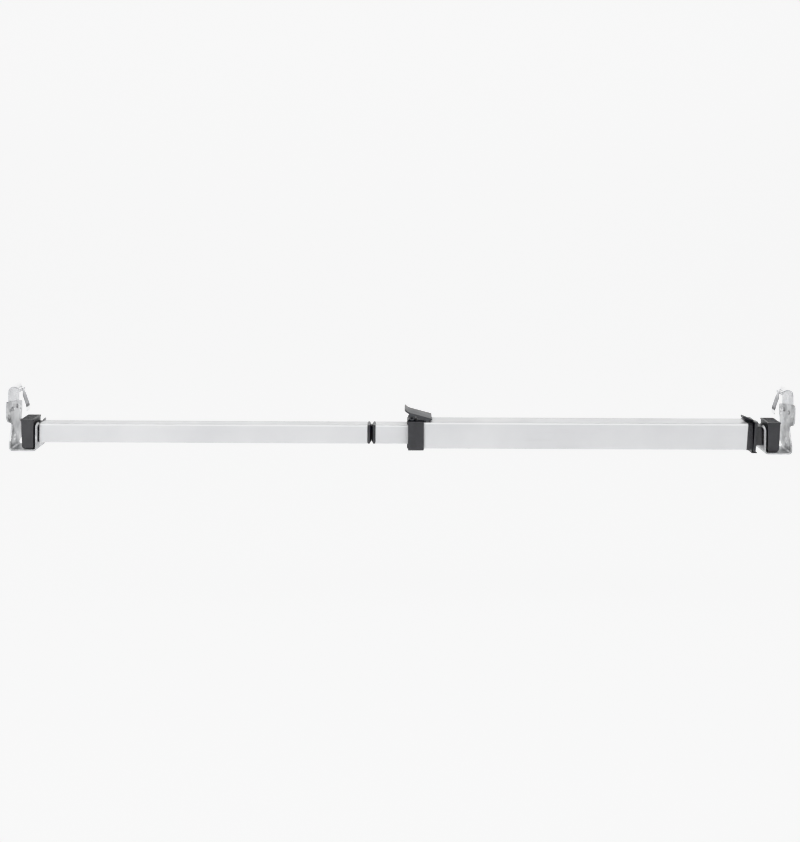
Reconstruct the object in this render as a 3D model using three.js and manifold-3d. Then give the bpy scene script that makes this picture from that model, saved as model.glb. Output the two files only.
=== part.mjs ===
// Telescoping window security bar, held between two steel wall brackets.
//
// Frame: millimetres. The origin is on the left wall face, on the bar's axis. +X runs along the bar
// to the right wall, +Y points away from the room and +Z points up.

import * as THREE from 'three';
import { mergeVertices } from 'three/addons/utils/BufferGeometryUtils.js';
import Module from 'manifold-3d';

const wasm = await Module();
wasm.setup();

// ---------------------------------------------------------------------------- driving dimensions

const SPAN = 1028; // wall face to wall face
const GAP = 0.3; // between pieces that meet

const SHEET = 2.6; // bracket steel
const CRADLE_HALF_WIDTH = 17.5;
const CRADLE_BEND = 5; // outside radius
const CRADLE_FLOOR = -20.2; // top of the floor that the head stands on
const CRADLE_REACH = 37.3; // wall face to the far side of the inner wall
const HORN_TOP = 14.2;
const HORN_FLARE = 2.2;
const SLOT_HALF_WIDTH = 11.2;
const SLOT_FLOOR = -12.4;
const SLOT_CORNER = 1;
const PLATE_SHOULDER = 28.5; // half-width of the wall plate above its waist
const PLATE_FAR_EDGE = 26; // far side of the wall plate under its shoulder

const LEAF = 1.1; // catch steel
const LEAF_HALF_WIDTH = 20.7;
const HINGE = { x: 11.2, z: 55.6, radius: 2.1, bore: 1.3, pin: 0.95, halfLength: 8 };
const KNUCKLE_GAP = 5.2; // half-width of the opening between the leaf's two knuckles
const TONGUE = { from: -1.8, to: 4.7, halfWidth: 6, foot: 27 }; // knuckle in Y, then the strip
const CATCH_SPRING = { radius: 1.62, wire: 0.28, turns: 2.75, start: -4.6, pitch: 0.78 };

const SMALL_TUBE = { half: 12.5, wall: 1.5, corner: 2 };
const LARGE_TUBE = { half: 17.5, wall: 2, corner: 2.5 };
const FIT = 0.3; // plug to tube, each side
const SLIDE_FIT = 0.35; // moulding to the small tube that slides in it
const LEAN_FIT = 0.45; // lock lever to the end slide that it grips
const PLUG_CORNER = 1;
const PLUG_WALL = 2.2;

const HEAD = { near: 15, far: 31.8, halfWidth: 14.75, top: 18.8, stemEnd: 85 };
const NECK = { half: 10.7, top: 11.9 }; // the head's neck, in the slot
const EXTENSION_START = 38.8;
const HEAD_SCREW_REACH = 42.4;

const JOINT_X = 475.65; // middle of the V groove between the two plugs
const JOINT_HALF_GAP = 0.15;
const FLANGE = 5; // length of each plug's flange
const FLANGE_CHAMFER = { length: 2, depth: 3.4 };
const PLUG_DEPTH = 40;
const STUD = { radius: 4, reach: 33, chamfer: 0.8 };

const INNER_TUBE_END = 830;
const OUTER_TUBE_START = 534.6;
const OUTER_TUBE_END = 968.7; // at the axis; the end is mitred
const END_LEAN = THREE.MathUtils.degToRad(3.8);

const COLLAR = { start: 523.6, end: 544.5, half: 19.5, nose: 1.3, noseHalf: 10.8, corner: 2.5 };
const PIVOT = { x: 528.8, z: 23.6, hole: 1.7, pin: 1.4, lug: 3.1, boss: 3.7 };
const LUG = { from: 7.2, to: 14, foot: 16 };
const LEVER_HALF_WIDTH = 17.2;
const LEVER_CHEEK = 2.6;
const LEVER_PLATE = 2.2;
const PIN_RECESS = 1.6; // from the lever's side to the pin's end
const CAM = { radius: 3.2, throw: 0.9, angle: THREE.MathUtils.degToRad(-60), halfWidth: 6.4 };
const SHOE = { x: 529.1, length: 7.6, halfWidth: 6.6, top: 19.3 };

const CAP = { face: 975.4, half: 17.9, stem: 34, corner: 3 };
const CAP_FOOT = { from: 974.5, to: 982.4, low: -21.9, halfWidth: 14.6 };
const CAP_GROOVES = { starts: [971.6, 973.4], width: 0.8, depth: 0.8 };
const LOCK = { gap: 0.8, thickness: 4, halfWidth: 16.5, foot: -19.8, top: 19.5 };
const TAB_HALF_WIDTH = 6;
const SLIDE_START = 893;
const BUSH_DEPTH = 20;
const GUIDE_FLANGE = 8;
const STOP_FLANGE = 4;
const LOCK_SPRING = { radius: 1.25, wire: 0.3, turns: 5, from: 970.8, to: 978.9, z: 15.3 };

const COLLAR_SCREW_X = 539.6;
const CAP_SCREW_X = 951;
const SCREW = { radius: 1.4, head: 2.4, clearance: 1.75 };

// ---------------------------------------------------------------------------- materials

const finish = (color, roughness, metalness) => ({ color, roughness, metalness });
const COATED_TUBE = finish(0xdcdedd, 0.35, 0.1);
const DARK_PLASTIC = finish(0x3b3c3e, 0.55, 0);
const GREY_PLASTIC = finish(0x55575a, 0.5, 0);
const BRACKET_STEEL = finish(0xb9bcc0, 0.3, 0.9);
const SPRING_STEEL = finish(0xc9ccd0, 0.22, 1);
const SCREW_STEEL = finish(0x9b9da1, 0.35, 0.9);

// ---------------------------------------------------------------------------- solid helpers

/** A closed manifold solid from any closed three.js geometry. */
function solid(geometry) {
  const bare = new THREE.BufferGeometry();
  bare.setAttribute('position', geometry.getAttribute('position'));
  bare.setIndex(geometry.index);
  const merged = mergeVertices(bare, 1e-5);
  const index = merged.index.array;
  const kept = [];
  for (let i = 0; i < index.length; i += 3) {
    const [a, b, c] = index.slice(i, i + 3);
    if (a !== b && b !== c && c !== a) kept.push(a, b, c);
  }
  return new wasm.Manifold(new wasm.Mesh({
    numProp: 3,
    vertProperties: new Float32Array(merged.getAttribute('position').array),
    triVerts: new Uint32Array(kept),
  }));
}

/** The same solid as a three.js geometry. */
function geometryOf(body) {
  const mesh = body.getMesh();
  const geometry = new THREE.BufferGeometry();
  geometry.setAttribute('position', new THREE.BufferAttribute(mesh.vertProperties, 3));
  geometry.setIndex(new THREE.BufferAttribute(mesh.triVerts, 1));
  geometry.computeVertexNormals();
  return geometry;
}

const joined = (first, ...others) => others.reduce((sum, other) => sum.add(other), first);
const without = (first, ...others) => others.reduce((rest, other) => rest.subtract(other), first);

/** A box between two values on each axis. */
function block([x0, x1], [y0, y1], [z0, z1]) {
  const box = new THREE.BoxGeometry(x1 - x0, y1 - y0, z1 - z0);
  return solid(box.translate((x0 + x1) / 2, (y0 + y1) / 2, (z0 + z1) / 2));
}

const both = (half) => [-half, half];

/** An outline in Y and Z, pushed along X. */
function prismX(outline, [x0, x1], curveSegments = 3) {
  const settings = { depth: x1 - x0, bevelEnabled: false, curveSegments };
  const geometry = new THREE.ExtrudeGeometry(outline, settings);
  const basis = new THREE.Matrix4().makeBasis(
    new THREE.Vector3(0, 1, 0), new THREE.Vector3(0, 0, 1), new THREE.Vector3(1, 0, 0));
  return solid(geometry.applyMatrix4(basis).translate(x0, 0, 0));
}

/** An outline in X and Z, pushed along Y. */
function prismY(outline, [y0, y1], curveSegments = 4) {
  const settings = { depth: y1 - y0, bevelEnabled: false, curveSegments };
  const geometry = new THREE.ExtrudeGeometry(outline, settings);
  return solid(geometry.rotateX(Math.PI / 2).translate(0, y1, 0));
}

/** A polygon through points. */
const polygon = (points) => new THREE.Shape(points.map(([u, v]) => new THREE.Vector2(u, v)));

/** A square centred on the axis, with round corners. */
function roundSquare(half, corner, centreZ = 0) {
  const inner = half - corner;
  const square = new THREE.Shape();
  square.absarc(inner, centreZ + inner, corner, 0, Math.PI / 2);
  square.absarc(-inner, centreZ + inner, corner, Math.PI / 2, Math.PI);
  square.absarc(-inner, centreZ - inner, corner, Math.PI, 1.5 * Math.PI);
  square.absarc(inner, centreZ - inner, corner, 1.5 * Math.PI, 2 * Math.PI);
  square.closePath();
  return square;
}

/** A sheet bent along a path in X and Z, as an outline of constant thickness. */
function ribbon(path, thickness, divisions = 5) {
  const distinct = (point, i, all) => i === 0 || point.distanceTo(all[i - 1]) > 1e-6;
  const line = path.getPoints(divisions).filter(distinct);
  const sides = [[], []];
  line.forEach((point, i) => {
    const before = line[Math.max(i - 1, 0)];
    const after = line[Math.min(i + 1, line.length - 1)];
    const arrive = point.clone().sub(before).normalize();
    const leave = after.clone().sub(point).normalize();
    const tangent = arrive.clone().add(leave).normalize();
    const normal = new THREE.Vector2(-tangent.y, tangent.x);
    const along = i > 0 ? arrive : leave;
    const stretch = thickness / 2 / Math.abs(normal.x * -along.y + normal.y * along.x);
    sides[0].push(point.clone().addScaledVector(normal, stretch));
    sides[1].unshift(point.clone().addScaledVector(normal, -stretch));
  });
  return new THREE.Shape([...sides[0], ...sides[1]]);
}

/** A turned piece: a profile of [radius, height] pairs about the local Z axis. */
function turned(profile, segments = 12) {
  const points = profile.map(([radius, height]) => new THREE.Vector2(radius, height));
  return new THREE.LatheGeometry(points, segments).rotateX(Math.PI / 2);
}

const TOWARDS = {
  X: new THREE.Matrix4().makeRotationY(Math.PI / 2),
  Y: new THREE.Matrix4().makeRotationX(-Math.PI / 2),
  Z: new THREE.Matrix4(),
};

/** A round rod along an axis, from one height on that axis to another. */
function rod(axis, radius, [from, to], [x, y, z], segments = 16) {
  const profile = [[0, from], [radius, from], [radius, to], [0, to]];
  return solid(turned(profile, segments).applyMatrix4(TOWARDS[axis]).translate(x, y, z));
}

/** Mirrors a piece of the left end into the right end. */
function mirrored(body) {
  return body.mirror([1, 0, 0]).translate([SPAN, 0, 0]);
}

/** A square tube along X. */
function squareTube({ half, wall, corner }, range) {
  const outline = roundSquare(half, corner);
  outline.holes.push(roundSquare(half - wall, Math.max(corner - wall, 0.5)));
  return prismX(outline, range, 4);
}

/** A round wire along a curve through points. */
function wire(points, radius, steps) {
  const section = new THREE.Shape().absarc(0, 0, radius, 0, 2 * Math.PI);
  const extrudePath = new THREE.CatmullRomCurve3(points, false, 'centripetal');
  return solid(new THREE.ExtrudeGeometry(section, { steps, curveSegments: 3, extrudePath }));
}

// ---------------------------------------------------------------------------- wall brackets

const RIVETS = [[-9.5, 31], [9.5, 31]]; // Y and Z
const WALL_SCREWS = [[-21.5, 25.5], [21.5, 25.5], [0, -8]];
const WALL_SCREW = { shank: 2, hole: 2.3, head: 4.2, sink: 2.1, recess: 1.1 };
const RIVET = { shank: 1.5, hole: 1.8, head: 2.9, height: 1.6 };
const BACK = 0.1; // how far the fixings stay short of the wall

/** The wall plate's outline: a waist on the room side, a straight edge on the far one, two shoulders. */
function plateOutline() {
  const half = CRADLE_HALF_WIDTH;
  const shoulder = PLATE_SHOULDER;
  const edge = PLATE_FAR_EDGE;
  const plate = new THREE.Shape();
  plate.moveTo(-half, CRADLE_FLOOR + 2.4);
  plate.lineTo(half, CRADLE_FLOOR + 2.4);
  plate.lineTo(edge, -13);
  plate.lineTo(edge, 12);
  plate.bezierCurveTo(edge, 18, shoulder, 19, shoulder, 26);
  plate.lineTo(shoulder, 32);
  plate.quadraticCurveTo(shoulder, 35.5, 25, 36);
  plate.lineTo(-24.5, 43.9);
  plate.quadraticCurveTo(-shoulder, 44.5, -shoulder, 40);
  plate.lineTo(-shoulder, 29);
  plate.bezierCurveTo(-shoulder, 23, -26, 16.8, -19, 15.2);
  plate.bezierCurveTo(-13, 14, -8.6, 12.5, -9.2, 7.5);
  plate.lineTo(-16.5, -11);
  return plate;
}

/** The cradle's section: down the wall, along the floor and up the inner wall to a flared lip. */
function cradleSection() {
  const mid = SHEET / 2;
  const radius = CRADLE_BEND - mid;
  const low = CRADLE_FLOOR - SHEET + CRADLE_BEND;
  const far = CRADLE_REACH - CRADLE_BEND;
  const path = new THREE.Path();
  path.moveTo(mid, -10);
  path.lineTo(mid, low);
  path.absarc(CRADLE_BEND, low, radius, Math.PI, 1.5 * Math.PI);
  path.lineTo(far, low - radius);
  path.absarc(far, low, radius, -Math.PI / 2, 0);
  path.lineTo(CRADLE_REACH - mid, 10);
  path.lineTo(CRADLE_REACH - mid + HORN_FLARE / 4, 12);
  path.lineTo(CRADLE_REACH - mid + HORN_FLARE, HORN_TOP);
  return ribbon(path, SHEET);
}

/** The catch leaf's outline seen along X, let into the plate's back. */
function leafOutline(margin = 0) {
  const wide = LEAF_HALF_WIDTH + margin;
  const narrow = 14 + margin;
  return polygon([
    [-narrow, 25 - margin], [narrow, 25 - margin], [narrow, 33 - margin], [wide, 36 - margin],
    [wide, 52], [17.5, 58.5], [17.5, 64], [-17.5, 64], [-17.5, 60], [-wide, 56], [-wide, 36 - margin],
    [-narrow, 33 - margin],
  ]);
}

function bracket() {
  const cradle = prismY(cradleSection(), both(CRADLE_HALF_WIDTH));
  const plate = prismX(plateOutline(), [0, SHEET], 5);
  const leafPocket = prismX(leafOutline(GAP), [-1, LEAF + GAP]);
  const slot = prismX(roundSlot(), [CRADLE_REACH - SHEET - 1, CRADLE_REACH + 6]);
  const lipCut = block([CRADLE_REACH + 0.1, CRADLE_REACH + 6], both(13), [6, HORN_TOP + 4]);
  const screwHoles = WALL_SCREWS.map(([y, z]) => wallScrewHole().translate([0, y, z]));
  return without(joined(plate, cradle), leafPocket, slot, lipCut, ...rivetHoles(), ...screwHoles);
}

const rivetHoles = () => RIVETS.map(([y, z]) => rod('X', RIVET.hole, [-1, SHEET + 1], [0, y, z]));

/** The open-topped slot that the head's neck drops into. */
function roundSlot() {
  const corner = SLOT_CORNER;
  const slot = new THREE.Shape();
  slot.moveTo(SLOT_HALF_WIDTH, HORN_TOP + 6);
  slot.lineTo(-SLOT_HALF_WIDTH, HORN_TOP + 6);
  slot.lineTo(-SLOT_HALF_WIDTH, SLOT_FLOOR + corner);
  slot.absarc(-SLOT_HALF_WIDTH + corner, SLOT_FLOOR + corner, corner, Math.PI, 1.5 * Math.PI);
  slot.absarc(SLOT_HALF_WIDTH - corner, SLOT_FLOOR + corner, corner, 1.5 * Math.PI, 2 * Math.PI);
  return slot;
}

function wallScrewHole() {
  const { hole, head, sink } = WALL_SCREW;
  const wide = head + GAP;
  const profile = [[0, -1], [hole, -1], [hole, SHEET - sink - GAP], [wide, SHEET - 0.5], [wide, SHEET + 1],
    [0, SHEET + 1]];
  return solid(turned(profile).applyMatrix4(TOWARDS.X));
}

/** A countersunk wood screw with a cross recess, cut off flush with the wall face. */
function wallScrew([y, z]) {
  const { shank, head, sink, recess } = WALL_SCREW;
  const top = SHEET - 0.2;
  const profile = [[0, BACK], [shank, BACK], [shank, top - sink], [head, top - 0.2], [head, top], [0, top]];
  const body = solid(turned(profile).applyMatrix4(TOWARDS.X));
  const cross = [
    block([top - recess, top + 1], both(0.45), both(2)),
    block([top - recess, top + 1], both(2), both(0.45)),
  ];
  return without(body, ...cross).translate([0, y, z]);
}

/** A domed rivet through the plate and the catch leaf. */
function rivet([y, z]) {
  const { shank, head: rim, height } = RIVET;
  const face = SHEET + GAP;
  const profile = [[0, BACK], [shank, BACK], [shank, face], [rim, face], [rim - 0.2, face + 0.7],
    [rim - 1.1, face + height - 0.3], [0, face + height]];
  return solid(turned(profile).applyMatrix4(TOWARDS.X)).translate([0, y, z]);
}

/** The fixed half of the catch: a leaf up the wall, bent over its top and rolled into two knuckles. */
function catchLeaf() {
  const { x, z, radius, bore, halfLength } = HINGE;
  const path = new THREE.Path();
  path.moveTo(LEAF / 2, 20);
  path.lineTo(LEAF / 2, 57.6);
  path.quadraticCurveTo(LEAF / 2, 61.4, 4.2, 61.2);
  path.lineTo(x, z + radius - LEAF / 2);
  const sheet = prismY(ribbon(path, LEAF), both(LEAF_HALF_WIDTH));
  const front = prismX(leafOutline(), [-1, x + 4]);
  const plan = polygon([[-1, -22], [1.2, -22], [4, -15], [x - radius, -halfLength], [x + 4, -halfLength],
    [x + 4, halfLength], [x - radius, halfLength], [4, 15], [1.2, 22], [-1, 22]]);
  const column = new THREE.ExtrudeGeometry(plan, { depth: 60, bevelEnabled: false });
  const above = solid(column.translate(0, 0, 20));
  const barrel = rod('Y', radius, both(halfLength), [x, 0, z]);
  const middle = block([x - radius - 0.35, x + 4], both(KNUCKLE_GAP), [z - 4, z + 6]);
  const pinHole = rod('Y', bore, both(halfLength + 1), [x, 0, z]);
  const body = joined(sheet.intersect(front).intersect(above), barrel);
  return without(body, middle, pinHole, ...rivetHoles());
}

/** The moving half: one knuckle and a tongue that slopes in over the head, then turns down. */
function catchTongue() {
  const { x, z, radius, bore } = HINGE;
  const path = new THREE.Path();
  path.moveTo(x + 1.4, z - 0.8);
  path.lineTo(18.9, 36.4);
  path.quadraticCurveTo(19.5, 34.7, 19.6, 33);
  path.lineTo(19.8, TONGUE.foot);
  const sheet = prismY(ribbon(path, LEAF), both(TONGUE.halfWidth));
  const outline = prismX(tongueOutline(), [x - 3, x + 12]);
  const barrel = rod('Y', radius, [TONGUE.from, TONGUE.to], [x, 0, z]);
  const pinHole = rod('Y', bore, both(TONGUE.to + 1), [x, 0, z]);
  return without(joined(sheet.intersect(outline), barrel), pinHole);
}

/** The tongue seen along X: narrow at its knuckle, wide below, with round lower corners. */
function tongueOutline() {
  const { from, to, halfWidth: wide, foot } = TONGUE;
  const round = 2.6;
  const tongue = new THREE.Shape();
  tongue.moveTo(from, 58);
  tongue.lineTo(from, 52.4);
  tongue.lineTo(-wide, 49);
  tongue.lineTo(-wide, foot + round);
  tongue.quadraticCurveTo(-wide, foot, round - wide, foot);
  tongue.lineTo(wide - round, foot);
  tongue.quadraticCurveTo(wide, foot, wide, foot + round);
  tongue.lineTo(wide, 49);
  tongue.lineTo(to, 52.4);
  tongue.lineTo(to, 58);
  return tongue;
}

/** The catch's hinge pin, with a round head at each end. */
function catchPin() {
  const { x, z, pin, halfLength } = HINGE;
  const end = halfLength + GAP;
  const head = 1.7;
  const upper = [[pin, end], [head, end], [head, end + 0.4], [head - 0.5, end + 0.9], [0, end + 0.9]];
  const lower = upper.map(([r, height]) => [r, -height]).reverse();
  return solid(turned([...lower, ...upper]).applyMatrix4(TOWARDS.Y)).translate([x, 0, z]);
}

/** The torsion spring beside the tongue's knuckle, one leg under the leaf and one behind the tongue. */
function catchSpring() {
  const { radius, wire: thick, turns, start, pitch } = CATCH_SPRING;
  const stepsPerTurn = 8;
  const at = (x, y, z) => new THREE.Vector3(HINGE.x + x, y, HINGE.z + z);
  const points = [at(-4.6, start, radius)];
  for (let i = 0; i <= turns * stepsPerTurn; i += 1) {
    const angle = Math.PI / 2 - (2 * Math.PI * i) / stepsPerTurn;
    const y = start + (pitch * i) / stepsPerTurn;
    points.push(at(radius * Math.cos(angle), y, radius * Math.sin(angle)));
  }
  points.push(at(-0.3, start + pitch * turns, -4));
  return wire(points, thick, 30);
}

/** One bracket with its screws, rivets and catch, mirrored for the right end. */
function bracketAssembly(side) {
  const place = side === 'right' ? mirrored : (body) => body;
  const group = new THREE.Group();
  const put = (name, body, look) => group.add(part(`${side}_${name}`, place(body), look));
  put('bracket', bracket(), BRACKET_STEEL);
  put('catch_leaf', catchLeaf(), SPRING_STEEL);
  put('catch_tongue', catchTongue(), SPRING_STEEL);
  put('catch_pin', catchPin(), SCREW_STEEL);
  put('catch_spring', catchSpring(), SCREW_STEEL);
  RIVETS.forEach((at, i) => put(`catch_rivet_${i + 1}`, rivet(at), SCREW_STEEL));
  WALL_SCREWS.forEach((at, i) => put(`wall_screw_${i + 1}`, wallScrew(at), SCREW_STEEL));
  return group;
}

// ---------------------------------------------------------------------------- heads

/** The moulded head that stands in a cradle, with its neck and the hollow stem inside the tube. */
function head() {
  const { near, far, halfWidth, top, stemEnd } = HEAD;
  const foot = CRADLE_FLOOR + GAP;
  const side = new THREE.Shape();
  side.moveTo(near + 0.2, top - 2);
  side.lineTo(near + 1.5, foot + 4);
  side.quadraticCurveTo(near + 1.7, foot, near + 5.5, foot);
  side.lineTo(far - 1, foot);
  side.lineTo(far, foot + 1);
  side.lineTo(far, top - 2);
  const stemHalf = SMALL_TUBE.half - SMALL_TUBE.wall - FIT;
  const body = prismY(side, both(halfWidth));
  const roof = block([near - 0.2, far + 0.2], both(halfWidth + 0.35), [top - 2, top]);
  const neckSpan = [far - 0.5, EXTENSION_START - GAP];
  const neck = block(neckSpan, both(NECK.half), [SLOT_FLOOR + GAP, NECK.top]);
  const stem = prismX(roundSquare(stemHalf, PLUG_CORNER), [EXTENSION_START - 2, stemEnd]);
  const coreHalf = stemHalf - PLUG_WALL;
  const core = block([EXTENSION_START + 10, stemEnd + 1], both(coreHalf), both(coreHalf));
  const pilot = rod('Z', SCREW.clearance, [-stemHalf - 3, -stemHalf + 5], [HEAD_SCREW_REACH, 0, 0]);
  return without(joined(body, roof, neck, stem), core, pilot);
}

/** A pan-head screw that enters a tube from below. */
function tubeScrew(x, tubeHalf, reach) {
  const { radius, head: rim } = SCREW;
  const seat = -tubeHalf - GAP;
  const profile = [[0, seat - 1.5], [rim - 0.8, seat - 1.5], [rim - 0.1, seat - 0.9], [rim, seat],
    [radius, seat], [radius, seat + reach], [0, seat + reach]];
  const slot = block([x - 3, x + 3], both(0.35), [seat - 2, seat - 0.8]);
  return without(solid(turned(profile)).translate([x, 0, 0]), slot);
}

const screwHoleBelow = (x, half) => rod('Z', SCREW.clearance, [-half - 1, -half + 3], [x, 0, 0]);

// ---------------------------------------------------------------------------- bar, fixed half

function extensionTube() {
  const tube = squareTube(SMALL_TUBE, [EXTENSION_START, JOINT_X - JOINT_HALF_GAP - FLANGE - GAP]);
  return tube.subtract(screwHoleBelow(HEAD_SCREW_REACH, SMALL_TUBE.half));
}

/** One joint plug, drawn for the left tube: a spigot, a flange chamfered to the joint and a bore. */
function jointPlug() {
  const { length, depth } = FLANGE_CHAMFER;
  const face = JOINT_X - JOINT_HALF_GAP;
  const spigotHalf = SMALL_TUBE.half - SMALL_TUBE.wall - FIT;
  const square = roundSquare(SMALL_TUBE.half, SMALL_TUBE.corner);
  const flange = prismX(square, [face - FLANGE, face]);
  const spigotSpan = [face - FLANGE - PLUG_DEPTH, face - FLANGE + 1];
  const spigot = prismX(roundSquare(spigotHalf, PLUG_CORNER), spigotSpan);
  const { half } = SMALL_TUBE;
  const wedge = polygon([[face - length, half + 0.01], [face + 1, half - depth * (1 + 1 / length)],
    [face + 1, half + 1], [face - length, half + 1]]);
  const topWedge = prismY(wedge, both(half + 2));
  const wedges = [0, 90, 180, 270].map((angle) => topWedge.rotate([angle, 0, 0]));
  const bore = rod('X', STUD.radius + GAP, [face - STUD.reach - 1, face + 1], [0, 0, 0]);
  return without(joined(flange, spigot), ...wedges, bore);
}

/** Turns the left joint plug about the joint's middle plane into the right one. */
const oppositePlug = (plug) => plug.mirror([1, 0, 0]).translate([2 * JOINT_X, 0, 0]);

/** The stud that draws the two plugs together. */
function jointStud() {
  const { radius, reach, chamfer } = STUD;
  const end = radius - chamfer;
  const profile = [[0, -reach], [end, -reach], [radius, -reach + 1], [radius, reach - 1], [end, reach],
    [0, reach]];
  return solid(turned(profile).applyMatrix4(TOWARDS.X)).translate([JOINT_X, 0, 0]);
}

function innerTube() {
  return squareTube(SMALL_TUBE, [JOINT_X + JOINT_HALF_GAP + FLANGE + GAP, INNER_TUBE_END]);
}

/** A plug with a wide flange that runs inside the large tube. */
function runningBush(end, flange, direction) {
  const plugHalf = SMALL_TUBE.half - SMALL_TUBE.wall - FIT;
  const flangeHalf = LARGE_TUBE.half - LARGE_TUBE.wall - FIT;
  const span = (from, to) => [Math.min(from, to), Math.max(from, to)];
  const tail = end - direction * BUSH_DEPTH;
  const plug = prismX(roundSquare(plugHalf, PLUG_CORNER), span(tail, end + direction));
  const seat = end + direction * GAP;
  const ring = prismX(roundSquare(flangeHalf, PLUG_CORNER), span(seat, seat + direction * flange));
  const coreHalf = plugHalf - PLUG_WALL;
  const coreSpan = span(tail - direction, seat + direction * (flange - 2));
  return without(joined(plug, ring), block(coreSpan, both(coreHalf), both(coreHalf)));
}

// ---------------------------------------------------------------------------- bar, sliding half

/** The half-space beyond the mitred end of the large tube, leaning to the right at its top. */
function beyondMitre(offset) {
  const slab = block([0, 80], both(40), both(60));
  const leaning = slab.rotate([0, THREE.MathUtils.radToDeg(END_LEAN), 0]);
  return leaning.translate([OUTER_TUBE_END + offset, 0, 0]);
}

function outerTube() {
  const tube = squareTube(LARGE_TUBE, [OUTER_TUBE_START, OUTER_TUBE_END + 4]);
  const holes = [COLLAR_SCREW_X, CAP_SCREW_X].map((x) => screwHoleBelow(x, LARGE_TUBE.half));
  return without(tube, beyondMitre(0), ...holes);
}

/** The clamp collar: a square body with a nose, two lugs for the lever and a window for the shoe. */
function clampCollar() {
  const { start, end, half, nose, noseHalf, corner } = COLLAR;
  const body = prismX(roundSquare(half, corner), [start, end], 4);
  const noseTabs = block([start - nose, start + 1], both(noseHalf), both(half - 1.1));
  const socketSpan = [OUTER_TUBE_START - GAP, end + 1];
  const socket = prismX(roundSquare(LARGE_TUBE.half + GAP, LARGE_TUBE.corner), socketSpan, 4);
  const throatSquare = roundSquare(SMALL_TUBE.half + SLIDE_FIT, SMALL_TUBE.corner);
  const throat = prismX(throatSquare, [start - 5, end], 4);
  const window = block(shoeSpan(GAP), both(SHOE.halfWidth + GAP), [10, half + 2]);
  const lugs = [[-LUG.to, -LUG.from], [LUG.from, LUG.to]].map(collarLug);
  const pinHole = rod('Y', PIVOT.hole, both(30), [PIVOT.x, 0, PIVOT.z]);
  const screwHole = rod('Z', SCREW.clearance, [-half - 2, -LARGE_TUBE.half], [COLLAR_SCREW_X, 0, 0]);
  return without(joined(body, noseTabs, ...lugs), socket, throat, window, pinHole, screwHole);
}

function collarLug(range) {
  const { x, z, lug } = PIVOT;
  const outline = new THREE.Shape();
  outline.moveTo(COLLAR.start - COLLAR.nose, LUG.foot);
  outline.lineTo(x + lug + 1.6, LUG.foot);
  outline.lineTo(x + lug, z);
  outline.absarc(x, z, lug, 0, Math.PI);
  return prismY(outline, range, 8);
}

const shoeSpan = (margin) => both(SHOE.length / 2 + margin).map((x) => x + SHOE.x);

/** The brake shoe that the cam presses on the small tube. */
function brakeShoe() {
  return block(shoeSpan(0), both(SHOE.halfWidth), [SMALL_TUBE.half + GAP, SHOE.top]);
}

/** The clamp lever: a plate with a curled thumb lip, two cheeks and the cam between the lugs. */
function clampLever() {
  const path = new THREE.Path();
  path.moveTo(555.1, 21.2);
  path.lineTo(527.4, 28.6);
  path.quadraticCurveTo(522.6, 29.9, 519.6, 33.6);
  const plate = prismY(ribbon(path, LEVER_PLATE, 4), both(LEVER_HALF_WIDTH));
  const inner = LEVER_HALF_WIDTH - LEVER_CHEEK;
  const cheeks = [[-LEVER_HALF_WIDTH, -inner], [inner, LEVER_HALF_WIDTH]].map(leverCheek);
  const camX = PIVOT.x + CAM.throw * Math.cos(CAM.angle);
  const camZ = PIVOT.z + CAM.throw * Math.sin(CAM.angle);
  const cam = rod('Y', CAM.radius, both(CAM.halfWidth), [camX, 0, camZ], 32);
  const web = block([PIVOT.x - 2, PIVOT.x + 2.6], both(CAM.halfWidth), [PIVOT.z, 27.8]);
  const pinHole = rod('Y', PIVOT.hole, both(30), [PIVOT.x, 0, PIVOT.z]);
  return without(joined(plate, ...cheeks, cam, web), pinHole);
}

function leverCheek(range) {
  const low = COLLAR.half + 0.6;
  const rightLow = LARGE_TUBE.half + 0.8;
  const skirt = polygon([[535.4, low], [545.3, low], [545.8, rightLow], [552.6, rightLow], [554.9, 20.6],
    [554.6, 22], [527.4, 29.2], [524.6, 29], [524.9, 25.2], [PIVOT.x, 25.2], [535.4, 25.2]]);
  const boss = rod('Y', PIVOT.boss, range, [PIVOT.x, 0, PIVOT.z], 24);
  return joined(prismY(skirt, range), boss);
}

function leverPin() {
  const end = LEVER_HALF_WIDTH - PIN_RECESS;
  const profile = [[0, -end], [PIVOT.pin - 0.3, -end], [PIVOT.pin, -end + 0.3], [PIVOT.pin, end - 0.3],
    [PIVOT.pin - 0.3, end], [0, end]];
  return solid(turned(profile).applyMatrix4(TOWARDS.Y)).translate([PIVOT.x, 0, PIVOT.z]);
}

// ---------------------------------------------------------------------------- sprung right end

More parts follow.
